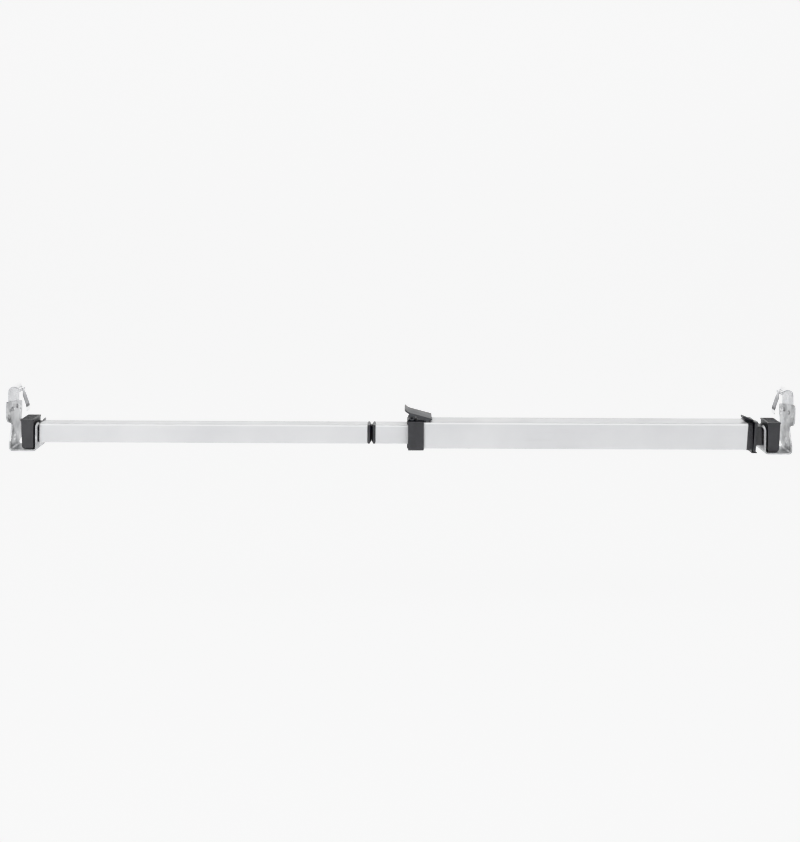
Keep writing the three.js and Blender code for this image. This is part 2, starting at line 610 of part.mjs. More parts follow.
/** The end cap: a ribbed flange on the mitred tube, a hollow stem and a foot under the lock lever. */
function endCap() {
  const { face, half, stem, corner } = CAP;
  const { from, to, low, halfWidth } = CAP_FOOT;
  const flangeBlank = prismX(roundSquare(half, corner), [OUTER_TUBE_END - 6, face]);
  const flange = flangeBlank.intersect(beyondMitre(GAP));
  const stemHalf = LARGE_TUBE.half - LARGE_TUBE.wall - FIT;
  const sleeve = prismX(roundSquare(stemHalf, PLUG_CORNER), [OUTER_TUBE_END - stem, face - 2]);
  const shelf = LOCK.foot - 0.4;
  const foot = prismY(polygon([[from, -half + 1], [from + 0.7, low], [to, low], [to, shelf], [face, shelf],
    [face, -half + 1]]), both(halfWidth));
  const boreSquare = roundSquare(SMALL_TUBE.half + GAP, SMALL_TUBE.corner);
  const bore = prismX(boreSquare, [OUTER_TUBE_END - stem - 1, face + 10]);
  const grooves = CAP_GROOVES.starts.map(capGroove);
  const pocketSpan = [LOCK_SPRING.from - 0.3, face + 1];
  const pocket = rod('X', LOCK_SPRING.radius + 0.6, pocketSpan, [0, 0, LOCK_SPRING.z]);
  const screwHole = rod('Z', SCREW.clearance, [-stemHalf - 1, -SMALL_TUBE.half], [CAP_SCREW_X, 0, 0]);
  return without(joined(flange, sleeve, foot), bore, ...grooves, pocket, screwHole);
}

/** The ring that one groove takes out of the cap's flange. */
function capGroove(x) {
  const { width, depth } = CAP_GROOVES;
  const slab = block([x, x + width], both(CAP.half + 1), both(CAP.half + 1));
  return slab.subtract(prismX(roundSquare(CAP.half - depth, CAP.corner - depth), [x - 1, x + 2]));
}

/** The lock lever: a plate round the end slide that leans and grips it, with a sloping thumb tab. */
function lockLever() {
  const { gap, thickness, halfWidth, foot, top } = LOCK;
  const left = CAP.face + gap;
  const right = left + thickness;
  const plate = prismX(roundPlate(halfWidth, foot, top), [left, right]);
  const holeSquare = roundSquare(SMALL_TUBE.half + LEAN_FIT, SMALL_TUBE.corner);
  const hole = prismX(holeSquare, [left - 1, right + 1]);
  const lean = THREE.MathUtils.radToDeg(END_LEAN);
  const pivot = [left + thickness / 2, 0, foot];
  const about = (body) => body.translate(pivot.map((v) => -v)).rotate([0, lean, 0]).translate(pivot);
  const tab = prismY(tabOutline(), both(TAB_HALF_WIDTH));
  const pocket = rod('X', LOCK_SPRING.radius + 0.7, [left - 1, left + 3], [0, 0, LOCK_SPRING.z]);
  return without(joined(about(plate.subtract(hole)), tab), about(pocket));
}

/** The thumb tab in X and Z, from its lip down to where it meets the leaning plate. */
function tabOutline() {
  const tab = new THREE.Shape();
  tab.moveTo(966.8, 21.3);
  tab.lineTo(966.3, 24.6);
  tab.quadraticCurveTo(966.2, 25.6, 967.4, 25.2);
  tab.lineTo(983.0, 19.6);
  tab.lineTo(982.7, 15);
  tab.lineTo(978.7, 15);
  tab.lineTo(978.4, 18);
  tab.lineTo(975.8, 18.8);
  tab.lineTo(972.6, 19.1);
  return tab;
}

/** A plate outline in Y and Z with round corners. */
function roundPlate(half, low, high) {
  const corner = 3;
  const topCorner = 1.2;
  const plate = new THREE.Shape();
  plate.absarc(half - topCorner, high - topCorner, topCorner, 0, Math.PI / 2);
  plate.absarc(-half + topCorner, high - topCorner, topCorner, Math.PI / 2, Math.PI);
  plate.absarc(-half + corner, low + corner, corner, Math.PI, 1.5 * Math.PI);
  plate.absarc(half - corner, low + corner, corner, 1.5 * Math.PI, 2 * Math.PI);
  return plate;
}

/** The compression spring that leans the lock lever out. */
function lockSpring() {
  const { radius, wire: thick, turns, from, to, z } = LOCK_SPRING;
  const steps = turns * 8;
  const points = [];
  for (let i = 0; i <= steps; i += 1) {
    const angle = (2 * Math.PI * turns * i) / steps;
    const x = from + thick + ((to - from - 2 * thick) * i) / steps;
    points.push(new THREE.Vector3(x, radius * Math.cos(angle), z + radius * Math.sin(angle)));
  }
  return wire(points, thick, steps);
}

function endSlideTube() {
  const tube = squareTube(SMALL_TUBE, [SLIDE_START, SPAN - EXTENSION_START]);
  return tube.subtract(screwHoleBelow(SPAN - HEAD_SCREW_REACH, SMALL_TUBE.half));
}

// ---------------------------------------------------------------------------- assembly

/** A named mesh of one solid. */
function part(name, body, look) {
  const mesh = new THREE.Mesh(geometryOf(body), new THREE.MeshStandardMaterial(look));
  mesh.name = name;
  return mesh;
}

const bar = new THREE.Group();
bar.add(bracketAssembly('left'));
bar.add(bracketAssembly('right'));

bar.add(part('left_head', head(), DARK_PLASTIC));
bar.add(part('left_head_screw', tubeScrew(HEAD_SCREW_REACH, SMALL_TUBE.half, 6), SCREW_STEEL));
bar.add(part('extension_tube', extensionTube(), COATED_TUBE));
bar.add(part('left_joint_plug', jointPlug(), DARK_PLASTIC));
bar.add(part('right_joint_plug', oppositePlug(jointPlug()), DARK_PLASTIC));
bar.add(part('joint_stud', jointStud(), SCREW_STEEL));
bar.add(part('inner_tube', innerTube(), COATED_TUBE));
bar.add(part('guide_bush', runningBush(INNER_TUBE_END, GUIDE_FLANGE, 1), GREY_PLASTIC));

bar.add(part('outer_tube', outerTube(), COATED_TUBE));
bar.add(part('clamp_collar', clampCollar(), DARK_PLASTIC));
bar.add(part('collar_screw', tubeScrew(COLLAR_SCREW_X, COLLAR.half, 4.5), SCREW_STEEL));
bar.add(part('brake_shoe', brakeShoe(), GREY_PLASTIC));
bar.add(part('clamp_lever', clampLever(), GREY_PLASTIC));
bar.add(part('lever_pin', leverPin(), SCREW_STEEL));

bar.add(part('end_cap', endCap(), DARK_PLASTIC));
bar.add(part('end_cap_screw', tubeScrew(CAP_SCREW_X, LARGE_TUBE.half, 4), SCREW_STEEL));
bar.add(part('lock_lever', lockLever(), DARK_PLASTIC));
bar.add(part('lock_spring', lockSpring(), SPRING_STEEL));
bar.add(part('end_slide_tube', endSlideTube(), DARK_PLASTIC));
bar.add(part('slide_stop_bush', runningBush(SLIDE_START, STOP_FLANGE, -1), GREY_PLASTIC));
bar.add(part('right_head', mirrored(head()), DARK_PLASTIC));
bar.add(part('right_head_screw', tubeScrew(SPAN - HEAD_SCREW_REACH, SMALL_TUBE.half, 6), SCREW_STEEL));

export default bar;
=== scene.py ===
"""Window security bar: the finished look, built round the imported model.

Every length is in millimetres until a mesh is made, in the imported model's own frame: the origin is on the
left wall face on the bar's axis, +X runs along the bar, +Y away from the room and +Z up.
"""

import math

import bmesh
import bpy
from mathutils import Matrix, Vector
from mathutils.geometry import delaunay_2d_cdt, intersect_point_line


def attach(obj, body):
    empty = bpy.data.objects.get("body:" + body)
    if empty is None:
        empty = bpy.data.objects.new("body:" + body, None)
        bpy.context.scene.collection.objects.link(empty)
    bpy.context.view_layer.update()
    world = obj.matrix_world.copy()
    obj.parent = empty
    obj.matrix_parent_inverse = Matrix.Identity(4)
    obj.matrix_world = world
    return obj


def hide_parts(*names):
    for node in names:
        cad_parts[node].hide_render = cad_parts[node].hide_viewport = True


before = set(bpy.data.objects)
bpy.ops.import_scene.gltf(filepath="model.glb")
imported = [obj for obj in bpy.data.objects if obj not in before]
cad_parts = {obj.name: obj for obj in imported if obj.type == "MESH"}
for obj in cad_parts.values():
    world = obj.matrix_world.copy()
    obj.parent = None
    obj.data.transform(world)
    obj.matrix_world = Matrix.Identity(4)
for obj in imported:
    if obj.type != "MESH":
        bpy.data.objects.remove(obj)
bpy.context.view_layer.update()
scene = bpy.context.scene
MM = 0.001

# ------------------------------------------------------------------ limits of the rounding

MERGE = 0.004  # millimetres: points nearer than this are one
IN_PLANE = 1e-6  # metres a point may stray from a flat stretch
SMALLEST_FLAT = 1e-11  # square metres
SLIVER = 1e-12  # square metres: the edges of smaller faces aren't judged
FOLD = math.radians(140)  # faces that meet at more than this are folded over
CREASE = math.radians(50)  # edges sharper than this stay sharp in the shading
PASSES = 8  # tries at narrowing the rounding round a fold
NARROWER = 0.6  # share of its width that an edge keeps at each try
NARROWEST = 0.12  # share of its width under which an edge isn't rounded
STRAIGHT_ON = 0.78  # cosine of the turn at which two edges are still one run

# ------------------------------------------------------------------ dimensions, millimetres

SPAN = 1028.0
GAP = 0.3

SHEET = 2.6
CRADLE_HALF = 17.5
CRADLE_FLOOR = -20.2
CRADLE_REACH = 37.3
HORN_TOP = 14.2
HORN_FLARE = 2.2
SLOT_HALF = 11.2
SLOT_FLOOR = -12.4
SHOULDER, PLATE_FAR_EDGE = 28.5, 26.0
THROUGH = 30.0  # half-length of a cutter that goes right through

LEAF = 1.1
LEAF_HALF = 20.7
HINGE_X, HINGE_Z = 11.2, 55.6
BARREL, PIN_BORE, PIN, BARREL_HALF = 2.1, 1.3, 0.95, 8.0
KNUCKLE = (-1.8, 4.7)

RIVETS = ((-9.5, 31.0), (9.5, 31.0))
WALL_SCREWS = ((-21.5, 25.5), (21.5, 25.5), (0.0, -8.0))
SCREW_HOLE, HEAD_SCREW_HOLE, SCREW_SHANK, SCREW_SLOT = 1.75, 1.7, 1.4, 0.3

SMALL_HALF, SMALL_WALL = 12.5, 1.5
LARGE_HALF, LARGE_WALL = 17.5, 2.0
HEAD_NEAR, HEAD_FAR, HEAD_HALF, HEAD_TOP = 15.0, 31.8, 14.75, 18.8
NECK_HALF, ROOF_LIP, RIB_HALF, RIB_PITCH, FIELD_MARGIN = 10.7, 0.45, 0.45, 4, 1.4
EXTENSION_START, STEM_END = 38.8, 85.0
HEAD_SCREW_X = 42.4
JOINT_X, JOINT_HALF_GAP = 475.65, 0.15
FLANGE, FLANGE_SLOPE, FLANGE_DEPTH, STUD_BORE = 5.0, 2.0, 3.4, 4.3
INNER_END = 830.0
OUTER_START, OUTER_END = 534.6, 968.7
END_LEAN = math.radians(3.8)

COLLAR_START, COLLAR_END, COLLAR_HALF = 523.6, 544.5, 19.5
COLLAR_NOSE, NOSE_HALF, NOSE_TOP = 1.3, 10.8, 18.4
PIVOT_X, PIVOT_Z, PIVOT_HOLE, PIVOT_PIN = 528.8, 23.6, 1.7, 1.4
LUG_RADIUS, LUG_INNER, LUG_OUTER, LUG_FOOT, BOSS_RADIUS = 3.1, 7.2, 14, 16, 3.7
LEVER_HALF, LEVER_CHEEK, LEVER_PLATE, PIN_RECESS = 17.2, 2.6, 2.2, 1.6
CAM_RADIUS, CAM_THROW, CAM_ANGLE, CAM_HALF = 3.2, 0.9, math.radians(-60), 6.4
SHOE_X, SHOE_LENGTH, SHOE_HALF, SHOE_TOP = 529.1, 7.6, 6.6, 19.3
COLLAR_SCREW_X, CAP_SCREW_X = 539.6, 951.0

CAP_FACE, CAP_HALF, CAP_STEM = 975.4, 17.9, 34.0
CAP_GROOVES, GROOVE_WIDTH, GROOVE_DEPTH = (971.6, 973.4), 0.8, 0.8
CAP_FOOT_BOTTOM, CAP_FOOT_END, CAP_FOOT_HALF = -21.9, 982.4, 14.6
LOCK_GAP, LOCK_THICK, LOCK_HALF, LOCK_FOOT, LOCK_TOP = 0.8, 4.0, 16.5, -19.8, 19.5
SPRING_RADIUS, SPRING_WIRE, SPRING_TURNS = 1.25, 0.3, 5
TURN_STEPS = 16  # points in one turn of a spring
SPRING_FROM, SPRING_TO, SPRING_Z = 970.8, 978.9, 15.3
SLIDE_START = 893.0

# ------------------------------------------------------------------ outlines


def arc(centre, radius, start, end, step=9.0):
    """Points on an arc, angles in degrees."""
    count = max(2, round(abs(end - start) / step))
    angles = [math.radians(start + (end - start) * i / count) for i in range(count + 1)]
    return [(centre[0] + radius * math.cos(a), centre[1] + radius * math.sin(a)) for a in angles]


def bezier(start, first, second, end, count=10):
    """Points on a cubic curve, its start left out."""
    points = []
    for i in range(1, count + 1):
        t = i / count
        weights = ((1 - t) ** 3, 3 * t * (1 - t) ** 2, 3 * t * t * (1 - t), t ** 3)
        points.append(tuple(
            sum(w * p[k] for w, p in zip(weights, (start, first, second, end))) for k in (0, 1)))
    return points


def rounded(corners, closed=True, step=math.radians(10)):
    """An outline through corners (u, v) or (u, v, radius), each radius turned into an arc."""
    points = []
    for i, corner in enumerate(corners):
        at = Vector(corner[:2])
        radius = corner[2] if len(corner) > 2 else 0
        at_end = not closed and i in (0, len(corners) - 1)
        if not radius or at_end:
            points.append(tuple(at))
            continue
        back = Vector(corners[i - 1][:2]) - at
        ahead = Vector(corners[(i + 1) % len(corners)][:2]) - at
        opening = back.angle(ahead)
        reach = min(radius / math.tan(opening / 2), back.length * 0.49, ahead.length * 0.49)
        radius = reach * math.tan(opening / 2)
        back.normalize()
        ahead.normalize()
        centre = at + (back + ahead).normalized() * radius / math.sin(opening / 2)
        start = at + back * reach - centre
        turn = math.pi - opening
        if back.x * ahead.y - back.y * ahead.x > 0:
            turn = -turn
        count = max(2, math.ceil(abs(turn) / step))
        first = math.atan2(start.y, start.x)
        for k in range(count + 1):
            angle = first + turn * k / count
            points.append((centre.x + radius * math.cos(angle), centre.y + radius * math.sin(angle)))
    return points


def square(half, corner, centre=(0, 0)):
    """A square with round corners."""
    u, v = centre
    return rounded([(u - half, v - half, corner), (u + half, v - half, corner),
                    (u + half, v + half, corner), (u - half, v + half, corner)])


def ribbon(line, thickness):
    """A line given an even thickness, as a closed outline."""
    left, right = [], []
    for i, point in enumerate(line):
        here = Vector(point)
        arrive = (here - Vector(line[max(i - 1, 0)]))
        leave = (Vector(line[min(i + 1, len(line) - 1)]) - here)
        arrive = arrive.normalized() if arrive.length > 1e-6 else leave.normalized()
        leave = leave.normalized() if leave.length > 1e-6 else arrive
        tangent = (arrive + leave).normalized()
        normal = Vector((-tangent.y, tangent.x))
        reach = thickness / 2 / max(0.3, tangent.dot(arrive))
        left.append(tuple(here + normal * reach))
        right.append(tuple(here - normal * reach))
    return left + right[::-1]


def both(half):
    return -half, half


# ------------------------------------------------------------------ solids

PLACES = {
    "X": lambda u, v, w: (w, u, v),
    "Y": lambda u, v, w: (u, w, v),
    "Z": lambda u, v, w: (u, v, w),
}


def placed(name, data):
    """A new object for a mesh, a curve, a light or a camera."""
    obj = bpy.data.objects.new(name, data)
    scene.collection.objects.link(obj)
    return obj


def to_object(name, bm):
    """A bmesh in millimetres as an object in metres."""
    bmesh.ops.recalc_face_normals(bm, faces=bm.faces)
    bmesh.ops.scale(bm, vec=(MM, MM, MM), verts=bm.verts)
    mesh = bpy.data.meshes.new(name)
    bm.to_mesh(mesh)
    bm.free()
    return placed(name, mesh)


def skinned(name, bm, rings):
    """A closed solid through rings of points."""
    bm.faces.new(rings[0])
    bm.faces.new(rings[-1])
    for lower, upper in zip(rings, rings[1:]):
        for i in range(len(lower)):
            j = (i + 1) % len(lower)
            bm.faces.new((lower[i], lower[j], upper[j], upper[i]))
    return to_object(name, bm)


def prism(axis, outline, span):
    """An outline pushed along an axis from one value to another."""
    bm = bmesh.new()
    rings = [[bm.verts.new(PLACES[axis](u, v, w)) for u, v in outline] for w in span]
    return skinned("prism", bm, rings)


def block(x, y, z):
    return prism("X", [(y[0], z[0]), (y[1], z[0]), (y[1], z[1]), (y[0], z[1])], x)


def turned(axis, profile, centre=(0, 0, 0), segments=40):
    """A turned solid: (radius, height) pairs, the first and the last on the axis."""
    bm = bmesh.new()
    rings = []
    for radius, height in profile:
        if radius == 0:
            rings.append([bm.verts.new(PLACES[axis](0, 0, height))])
            continue
        angles = [2 * math.pi * i / segments for i in range(segments)]
        rings.append([bm.verts.new(PLACES[axis](radius * math.cos(a), radius * math.sin(a), height))
                      for a in angles])
    for lower, upper in zip(rings, rings[1:]):
        for i in range(segments):
            j = (i + 1) % segments
            if len(lower) == 1:
                bm.faces.new((lower[0], upper[j], upper[i]))
            elif len(upper) == 1:
                bm.faces.new((lower[i], lower[j], upper[0]))
            else:
                bm.faces.new((lower[i], lower[j], upper[j], upper[i]))
    bmesh.ops.translate(bm, vec=centre, verts=bm.verts)
    return to_object("turned", bm)


def rod(axis, radius, span, centre, segments=48):
    """A plain round rod, used to cut and to join."""
    return turned(axis, [(0, span[0]), (radius, span[0]), (radius, span[1]), (0, span[1])], centre, segments)


def settle(obj):
    """Makes an object's modifiers real."""
    bpy.context.view_layer.update()
    result = bpy.data.meshes.new_from_object(obj.evaluated_get(bpy.context.evaluated_depsgraph_get()))
    obj.modifiers.clear()
    obj.data = result
    return obj


def combine(operation, base, tools):
    for tool in tools:
        modifier = base.modifiers.new("combine", "BOOLEAN")
        modifier.operation = operation
        modifier.solver = "MANIFOLD"
        modifier.object = tool
    settle(base)
    for tool in tools:
        bpy.data.objects.remove(tool)
    return base


def joined(base, *others):
    return combine("UNION", base, others)


def without(base, *cuts):
    return combine("DIFFERENCE", base, cuts)


def common(base, *others):
    return combine("INTERSECT", base, others)


def moved(obj, matrix):
    obj.data.transform(matrix)
    return obj


def mirrored(obj, middle=SPAN / 2):
    """A piece turned into its twin on the other side of an upright plane."""
    moved(obj, Matrix.Translation((2 * middle * MM, 0, 0)) @ Matrix.Scale(-1, 4, (1, 0, 0)))
    obj.data.flip_normals()
    return obj


def wire(points, radius, sides=6):
    """A round wire through points, closed at its ends."""
    curve = bpy.data.curves.new("wire", "CURVE")
    curve.dimensions = "3D"
    curve.bevel_depth = radius * MM
    curve.bevel_resolution = sides
    curve.use_fill_caps = True
    spline = curve.splines.new("NURBS")
    spline.points.add(len(points) - 1)
    for control, point in zip(spline.points, points):
        control.co = (*(c * MM for c in point), 1)
    spline.use_endpoint_u = True
    spline.order_u = 4
    spline.resolution_u = 4
    obj = placed("wire", curve)
    bpy.context.view_layer.update()
    mesh = bpy.data.meshes.new_from_object(obj.evaluated_get(bpy.context.evaluated_depsgraph_get()))
    bpy.data.objects.remove(obj)
    return placed("wire", mesh)


def inside(point, walls):
    """Whether a flat point lies inside closed walls, counted by crossings."""
    crossings = 0
    for (u0, v0), (u1, v1) in walls:
        if (v0 > point[1]) != (v1 > point[1]):
            crossings += point[0] < u0 + (point[1] - v0) * (u1 - u0) / (v1 - v0)
    return crossings % 2 == 1


def flat_region(seed, done):
    """The faces joined to a seed that lie in its plane."""
    normal = seed.normal.copy()
    level = normal.dot(seed.verts[0].co)
    region, stack = {seed}, [seed]
    while stack:
        for edge in stack.pop().edges:
            for face in edge.link_faces:
                if face not in region and face not in done and all(
                        abs(normal.dot(v.co) - level) < IN_PLANE for v in face.verts):
                    region.add(face)
                    stack.append(face)
    return region, normal


def refill_flats(bm):
    """Fills each flat stretch afresh from its outline, and returns the places where outlines cross."""
    crossings, done = [], set()
    bm.normal_update()
    for seed in sorted(bm.faces, key=lambda f: -f.calc_area()):
        if not seed.is_valid or seed in done or seed.calc_area() < SMALLEST_FLAT:
            continue
        region, normal = flat_region(seed, done)
        done |= region
        if len(region) == 1 and len(seed.verts) < 5:
            continue
        rim = [e for e in {e for f in region for e in f.edges}
               if sum(f in region for f in e.link_faces) == 1]
        rim.sort(key=lambda e: tuple(sorted(v.index for v in e.verts)))
        verts = sorted({v for e in rim for v in e.verts}, key=lambda v: v.index)
        number = {v: i for i, v in enumerate(verts)}
        flat = normal.to_track_quat("Z", "Y").to_matrix().transposed()
        points = [(flat @ (v.co - verts[0].co)).to_2d() * 1000 for v in verts]
        lines = [tuple(number[v] for v in e.verts) for e in rim]
        found, _, triangles, origins, *_ = delaunay_2d_cdt(points, lines, [], 1, 1e-6)
        if any(len(origin) != 1 for origin in origins):
            crossings += [verts[0].co + flat.transposed() @ (p / 1000).to_3d()
                          for p, origin in zip(found, origins) if len(origin) != 1]
            continue
        walls = [(points[i], points[j]) for i, j in lines]
        corners = [origin[0] for origin in origins]
        kept = [[verts[corners[i]] for i in t] for t in triangles
                if inside(sum((found[i] for i in t), Vector((0, 0))) / 3, walls)]
        bmesh.ops.delete(bm, geom=list(region), context="FACES_ONLY")
        for corner in kept:
            if bm.faces.get(corner) is None:
                done.add(bm.faces.new(corner))
    bmesh.ops.delete(bm, geom=[e for e in bm.edges if not e.link_faces], context="EDGES")
    bmesh.ops.delete(bm, geom=[v for v in bm.verts if not v.link_faces], context="VERTS")
    bm.normal_update()
    return crossings


def finished(obj):
    """The object with its rounding made real, as a bmesh, and the places where the rounding has no room."""
    bpy.context.view_layer.update()
    evaluated = obj.evaluated_get(bpy.context.evaluated_depsgraph_get())
    bm = bmesh.new()
    bm.from_mesh(evaluated.to_mesh())
    evaluated.to_mesh_clear()
    bmesh.ops.remove_doubles(bm, verts=bm.verts, dist=5e-7)
    spots = refill_flats(bm)
    for edge in bm.edges:
        folded = edge.calc_face_angle(0) > FOLD
        if folded and min(f.calc_area() for f in edge.link_faces) > SLIVER:
            spots.append((edge.verts[0].co + edge.verts[1].co) / 2)
    return bm, spots


def distance_to_edge(spot, start, end):
    closest, share = intersect_point_line(spot, start, end)
    return (spot - (closest if 0 <= share <= 1 else min(start, end, key=lambda p: (p - spot).length))).length


def sideways(edge, vert):
    """The other edges at one end of an edge: those that carry on its line, and those that leave it."""
    along = (vert.co - edge.other_vert(vert).co).normalized()
    onward, beside = [], []
    for other in vert.link_edges:
        if other is not edge:
            away = other.other_vert(vert).co - vert.co
            turn = away.normalized().dot(along)
            (onward if turn > STRAIGHT_ON else beside).append(other)
    return onward, beside


def outer_chains(bm, limit):
    """The outer edges sharper than the limit, in runs that turn gently."""
    left = [e for e in bm.edges if e.is_convex and e.calc_face_angle(0) > math.radians(limit)]
    sharp, chains = set(left), []
    for start in left:
        if start not in sharp:
            continue
        sharp.discard(start)
        chain, stack = [], [start]
        while stack:
            edge = stack.pop()
            chain.append(edge)
            for vert in edge.verts:
                for other in sideways(edge, vert)[0]:
                    if other in sharp:
                        sharp.discard(other)
                        stack.append(other)
        chains.append(chain)
    return chains


def cleaned(obj, width, limit):
    """Merges what is flat and finds how far each run of outer edges may be rounded."""
    bm = bmesh.new()
    bm.from_mesh(obj.data)
    bmesh.ops.remove_doubles(bm, verts=bm.verts, dist=MERGE * MM)
    bmesh.ops.dissolve_limit(bm, angle_limit=math.radians(0.6), verts=bm.verts, edges=bm.edges)
    bm.edges.index_update()
    bm.edges.ensure_lookup_table()
    weight = bm.edges.layers.float.new("bevel_weight_edge")
    chains = outer_chains(bm, limit)
    for chain in chains:
        room = min((other.calc_length() for edge in chain for vert in edge.verts
                    for other in sideways(edge, vert)[1]), default=1)
        for edge in chain:
            edge[weight] = min(1, 0.45 * room / (width * MM))
    numbers = [[edge.index for edge in chain] for chain in chains]
    bm.to_mesh(obj.data)
    bm.free()
    return numbers


def edges_softened(obj, width, segments=3, limit=33.0):
    """Rounds every outer edge sharper than the limit, less where there is no room for it."""
    chains = cleaned(obj, width, limit)
    bevel = obj.modifiers.new("rounded_edges", "BEVEL")
    bevel.width = width * MM
    bevel.segments = segments
    bevel.limit_method = "WEIGHT"
    bevel.use_clamp_overlap = False
    bevel.loop_slide = False
    mesh = obj.data
    weights = mesh.attributes["bevel_weight_edge"].data
    ends = [[mesh.vertices[v].co for v in edge.vertices] for edge in mesh.edges]
    near = 1.5 * width * MM
    bm, spots = finished(obj)
    for _ in range(PASSES):
        if not spots:
            break
        for chain in chains:
            share = weights[chain[0]].value
            if share and min(distance_to_edge(s, *ends[i]) for s in spots for i in chain) < near:
                for i in chain:
                    weights[i].value = share * NARROWER if share > NARROWEST else 0
        bm.free()
        bm, spots = finished(obj)
    obj.modifiers.clear()
    for face in bm.faces:
        face.smooth = True
    for edge in bm.edges:
        edge.smooth = edge.calc_face_angle(0) < CREASE
    result = bpy.data.meshes.new(obj.name)
    bm.to_mesh(result)
    bm.free()
    obj.data = result
    shading = obj.modifiers.new("even_shading", "WEIGHTED_NORMAL")
    shading.keep_sharp = True
    return obj


# ------------------------------------------------------------------ materials


class Surface:
    """A Principled material whose detail comes from noises over the object's own coordinates."""

    def __init__(self, name, roughness, metallic=0.0):
        self.material = bpy.data.materials.new(name)
        self.material.use_nodes = True
        self.nodes = self.material.node_tree.nodes
        self.links = self.material.node_tree.links
        self.shader = self.nodes["Principled BSDF"]
        self.shader.inputs["Roughness"].default_value = roughness
        self.shader.inputs["Metallic"].default_value = metallic
        self.place = self.nodes.new("ShaderNodeTexCoord").outputs["Object"]
        self.height = None

    def link(self, source, node, socket):
        self.links.new(source, node.inputs[socket])

    def stretched(self, stretch):
        mapping = self.nodes.new("ShaderNodeMapping")
        mapping.inputs["Scale"].default_value = stretch
        self.link(self.place, mapping, "Vector")
        return mapping.outputs["Vector"]

    def noise(self, scale, detail=3.0, roughness=0.55, stretch=(1, 1, 1)):
        node = self.nodes.new("ShaderNodeTexNoise")
        node.inputs["Scale"].default_value = scale
        node.inputs["Detail"].default_value = detail
        node.inputs["Roughness"].default_value = roughness
        self.link(self.stretched(stretch), node, "Vector")
        return node.outputs["Fac"]

    def cells(self, scale, output="Distance", stretch=(1, 1, 1)):
        node = self.nodes.new("ShaderNodeTexVoronoi")
        node.inputs["Scale"].default_value = scale
        self.link(self.stretched(stretch), node, "Vector")
        return node.outputs[output]

    def range(self, value, low, high, out_low, out_high):
        node = self.nodes.new("ShaderNodeMapRange")
        limits = {"From Min": low, "From Max": high, "To Min": out_low, "To Max": out_high}
        for socket, number in limits.items():
            node.inputs[socket].default_value = number
        self.link(value, node, "Value")
        return node.outputs["Result"]

    def product(self, first, second):
        node = self.nodes.new("ShaderNodeMath")
        node.operation = "MULTIPLY"
        self.link(first, node, 0)
        self.link(second, node, 1)
        return node.outputs["Value"]

    def along(self, vector, axis):
        split = self.nodes.new("ShaderNodeSeparateXYZ")
        self.link(vector, split, "Vector")
        return split.outputs[axis]

    def height_above(self, low, high):
        """0 under the low height and 1 over the high one, in millimetres."""
        return self.range(self.along(self.place, "Z"), low * MM, high * MM, 0, 1)

    def off_the_wall(self, low, high):
        """0 nearer to an end wall than the low distance, 1 farther than the high one, in millimetres."""
        node = self.nodes.new("ShaderNodeMath")
        node.operation = "PINGPONG"
        self.link(self.along(self.place, "X"), node, 0)
        node.inputs[1].default_value = SPAN / 2 * MM
        return self.range(node.outputs["Value"], low * MM, high * MM, 0, 1)

    def facing_up(self, low=0.55, high=0.95):
        """1 on faces that point up and 0 on the rest, or the reverse where low is the larger number."""
        normal = self.nodes.new("ShaderNodeNewGeometry").outputs["Normal"]
        return self.range(self.along(normal, "Z"), low, high, 0, 1)

    def edge(self, radius, low=0.005, high=0.12):
        """1 along convex and concave edges, 0 on flat faces."""
        rounded_normal = self.nodes.new("ShaderNodeBevel")
        rounded_normal.samples = 6
        rounded_normal.inputs["Radius"].default_value = radius * MM
        flat = self.nodes.new("ShaderNodeNewGeometry").outputs["Normal"]
        dot = self.nodes.new("ShaderNodeVectorMath")
        dot.operation = "DOT_PRODUCT"
        self.link(rounded_normal.outputs["Normal"], dot, 0)
        self.link(flat, dot, 1)
        return self.range(dot.outputs["Value"], 1 - low, 1 - high, 0, 1)

    def blend(self, factor, first, second):
        """A colour that goes from first to second; either may be a socket or three numbers."""
        node = self.nodes.new("ShaderNodeMix")
        node.data_type = "RGBA"
        self.link(factor, node, 0)
        for socket, colour in ((6, first), (7, second)):
            if hasattr(colour, "is_linked"):
                self.links.new(colour, node.inputs[socket])
            else:
                node.inputs[socket].default_value = (*colour, 1)
        return node.outputs[2]

    def colour(self, source):
        self.link(source, self.shader, "Base Color")

    def roughness(self, source):
        self.link(source, self.shader, "Roughness")

    def bump(self, source, strength, distance):
        """Adds one layer of bump over the layers before it."""
        node = self.nodes.new("ShaderNodeBump")
        node.inputs["Strength"].default_value = strength
        node.inputs["Distance"].default_value = distance * MM
        self.link(source, node, "Height")
        if self.height is not None:
            self.link(self.height, node, "Normal")
        self.height = node.outputs["Normal"]
        self.link(self.height, self.shader, "Normal")


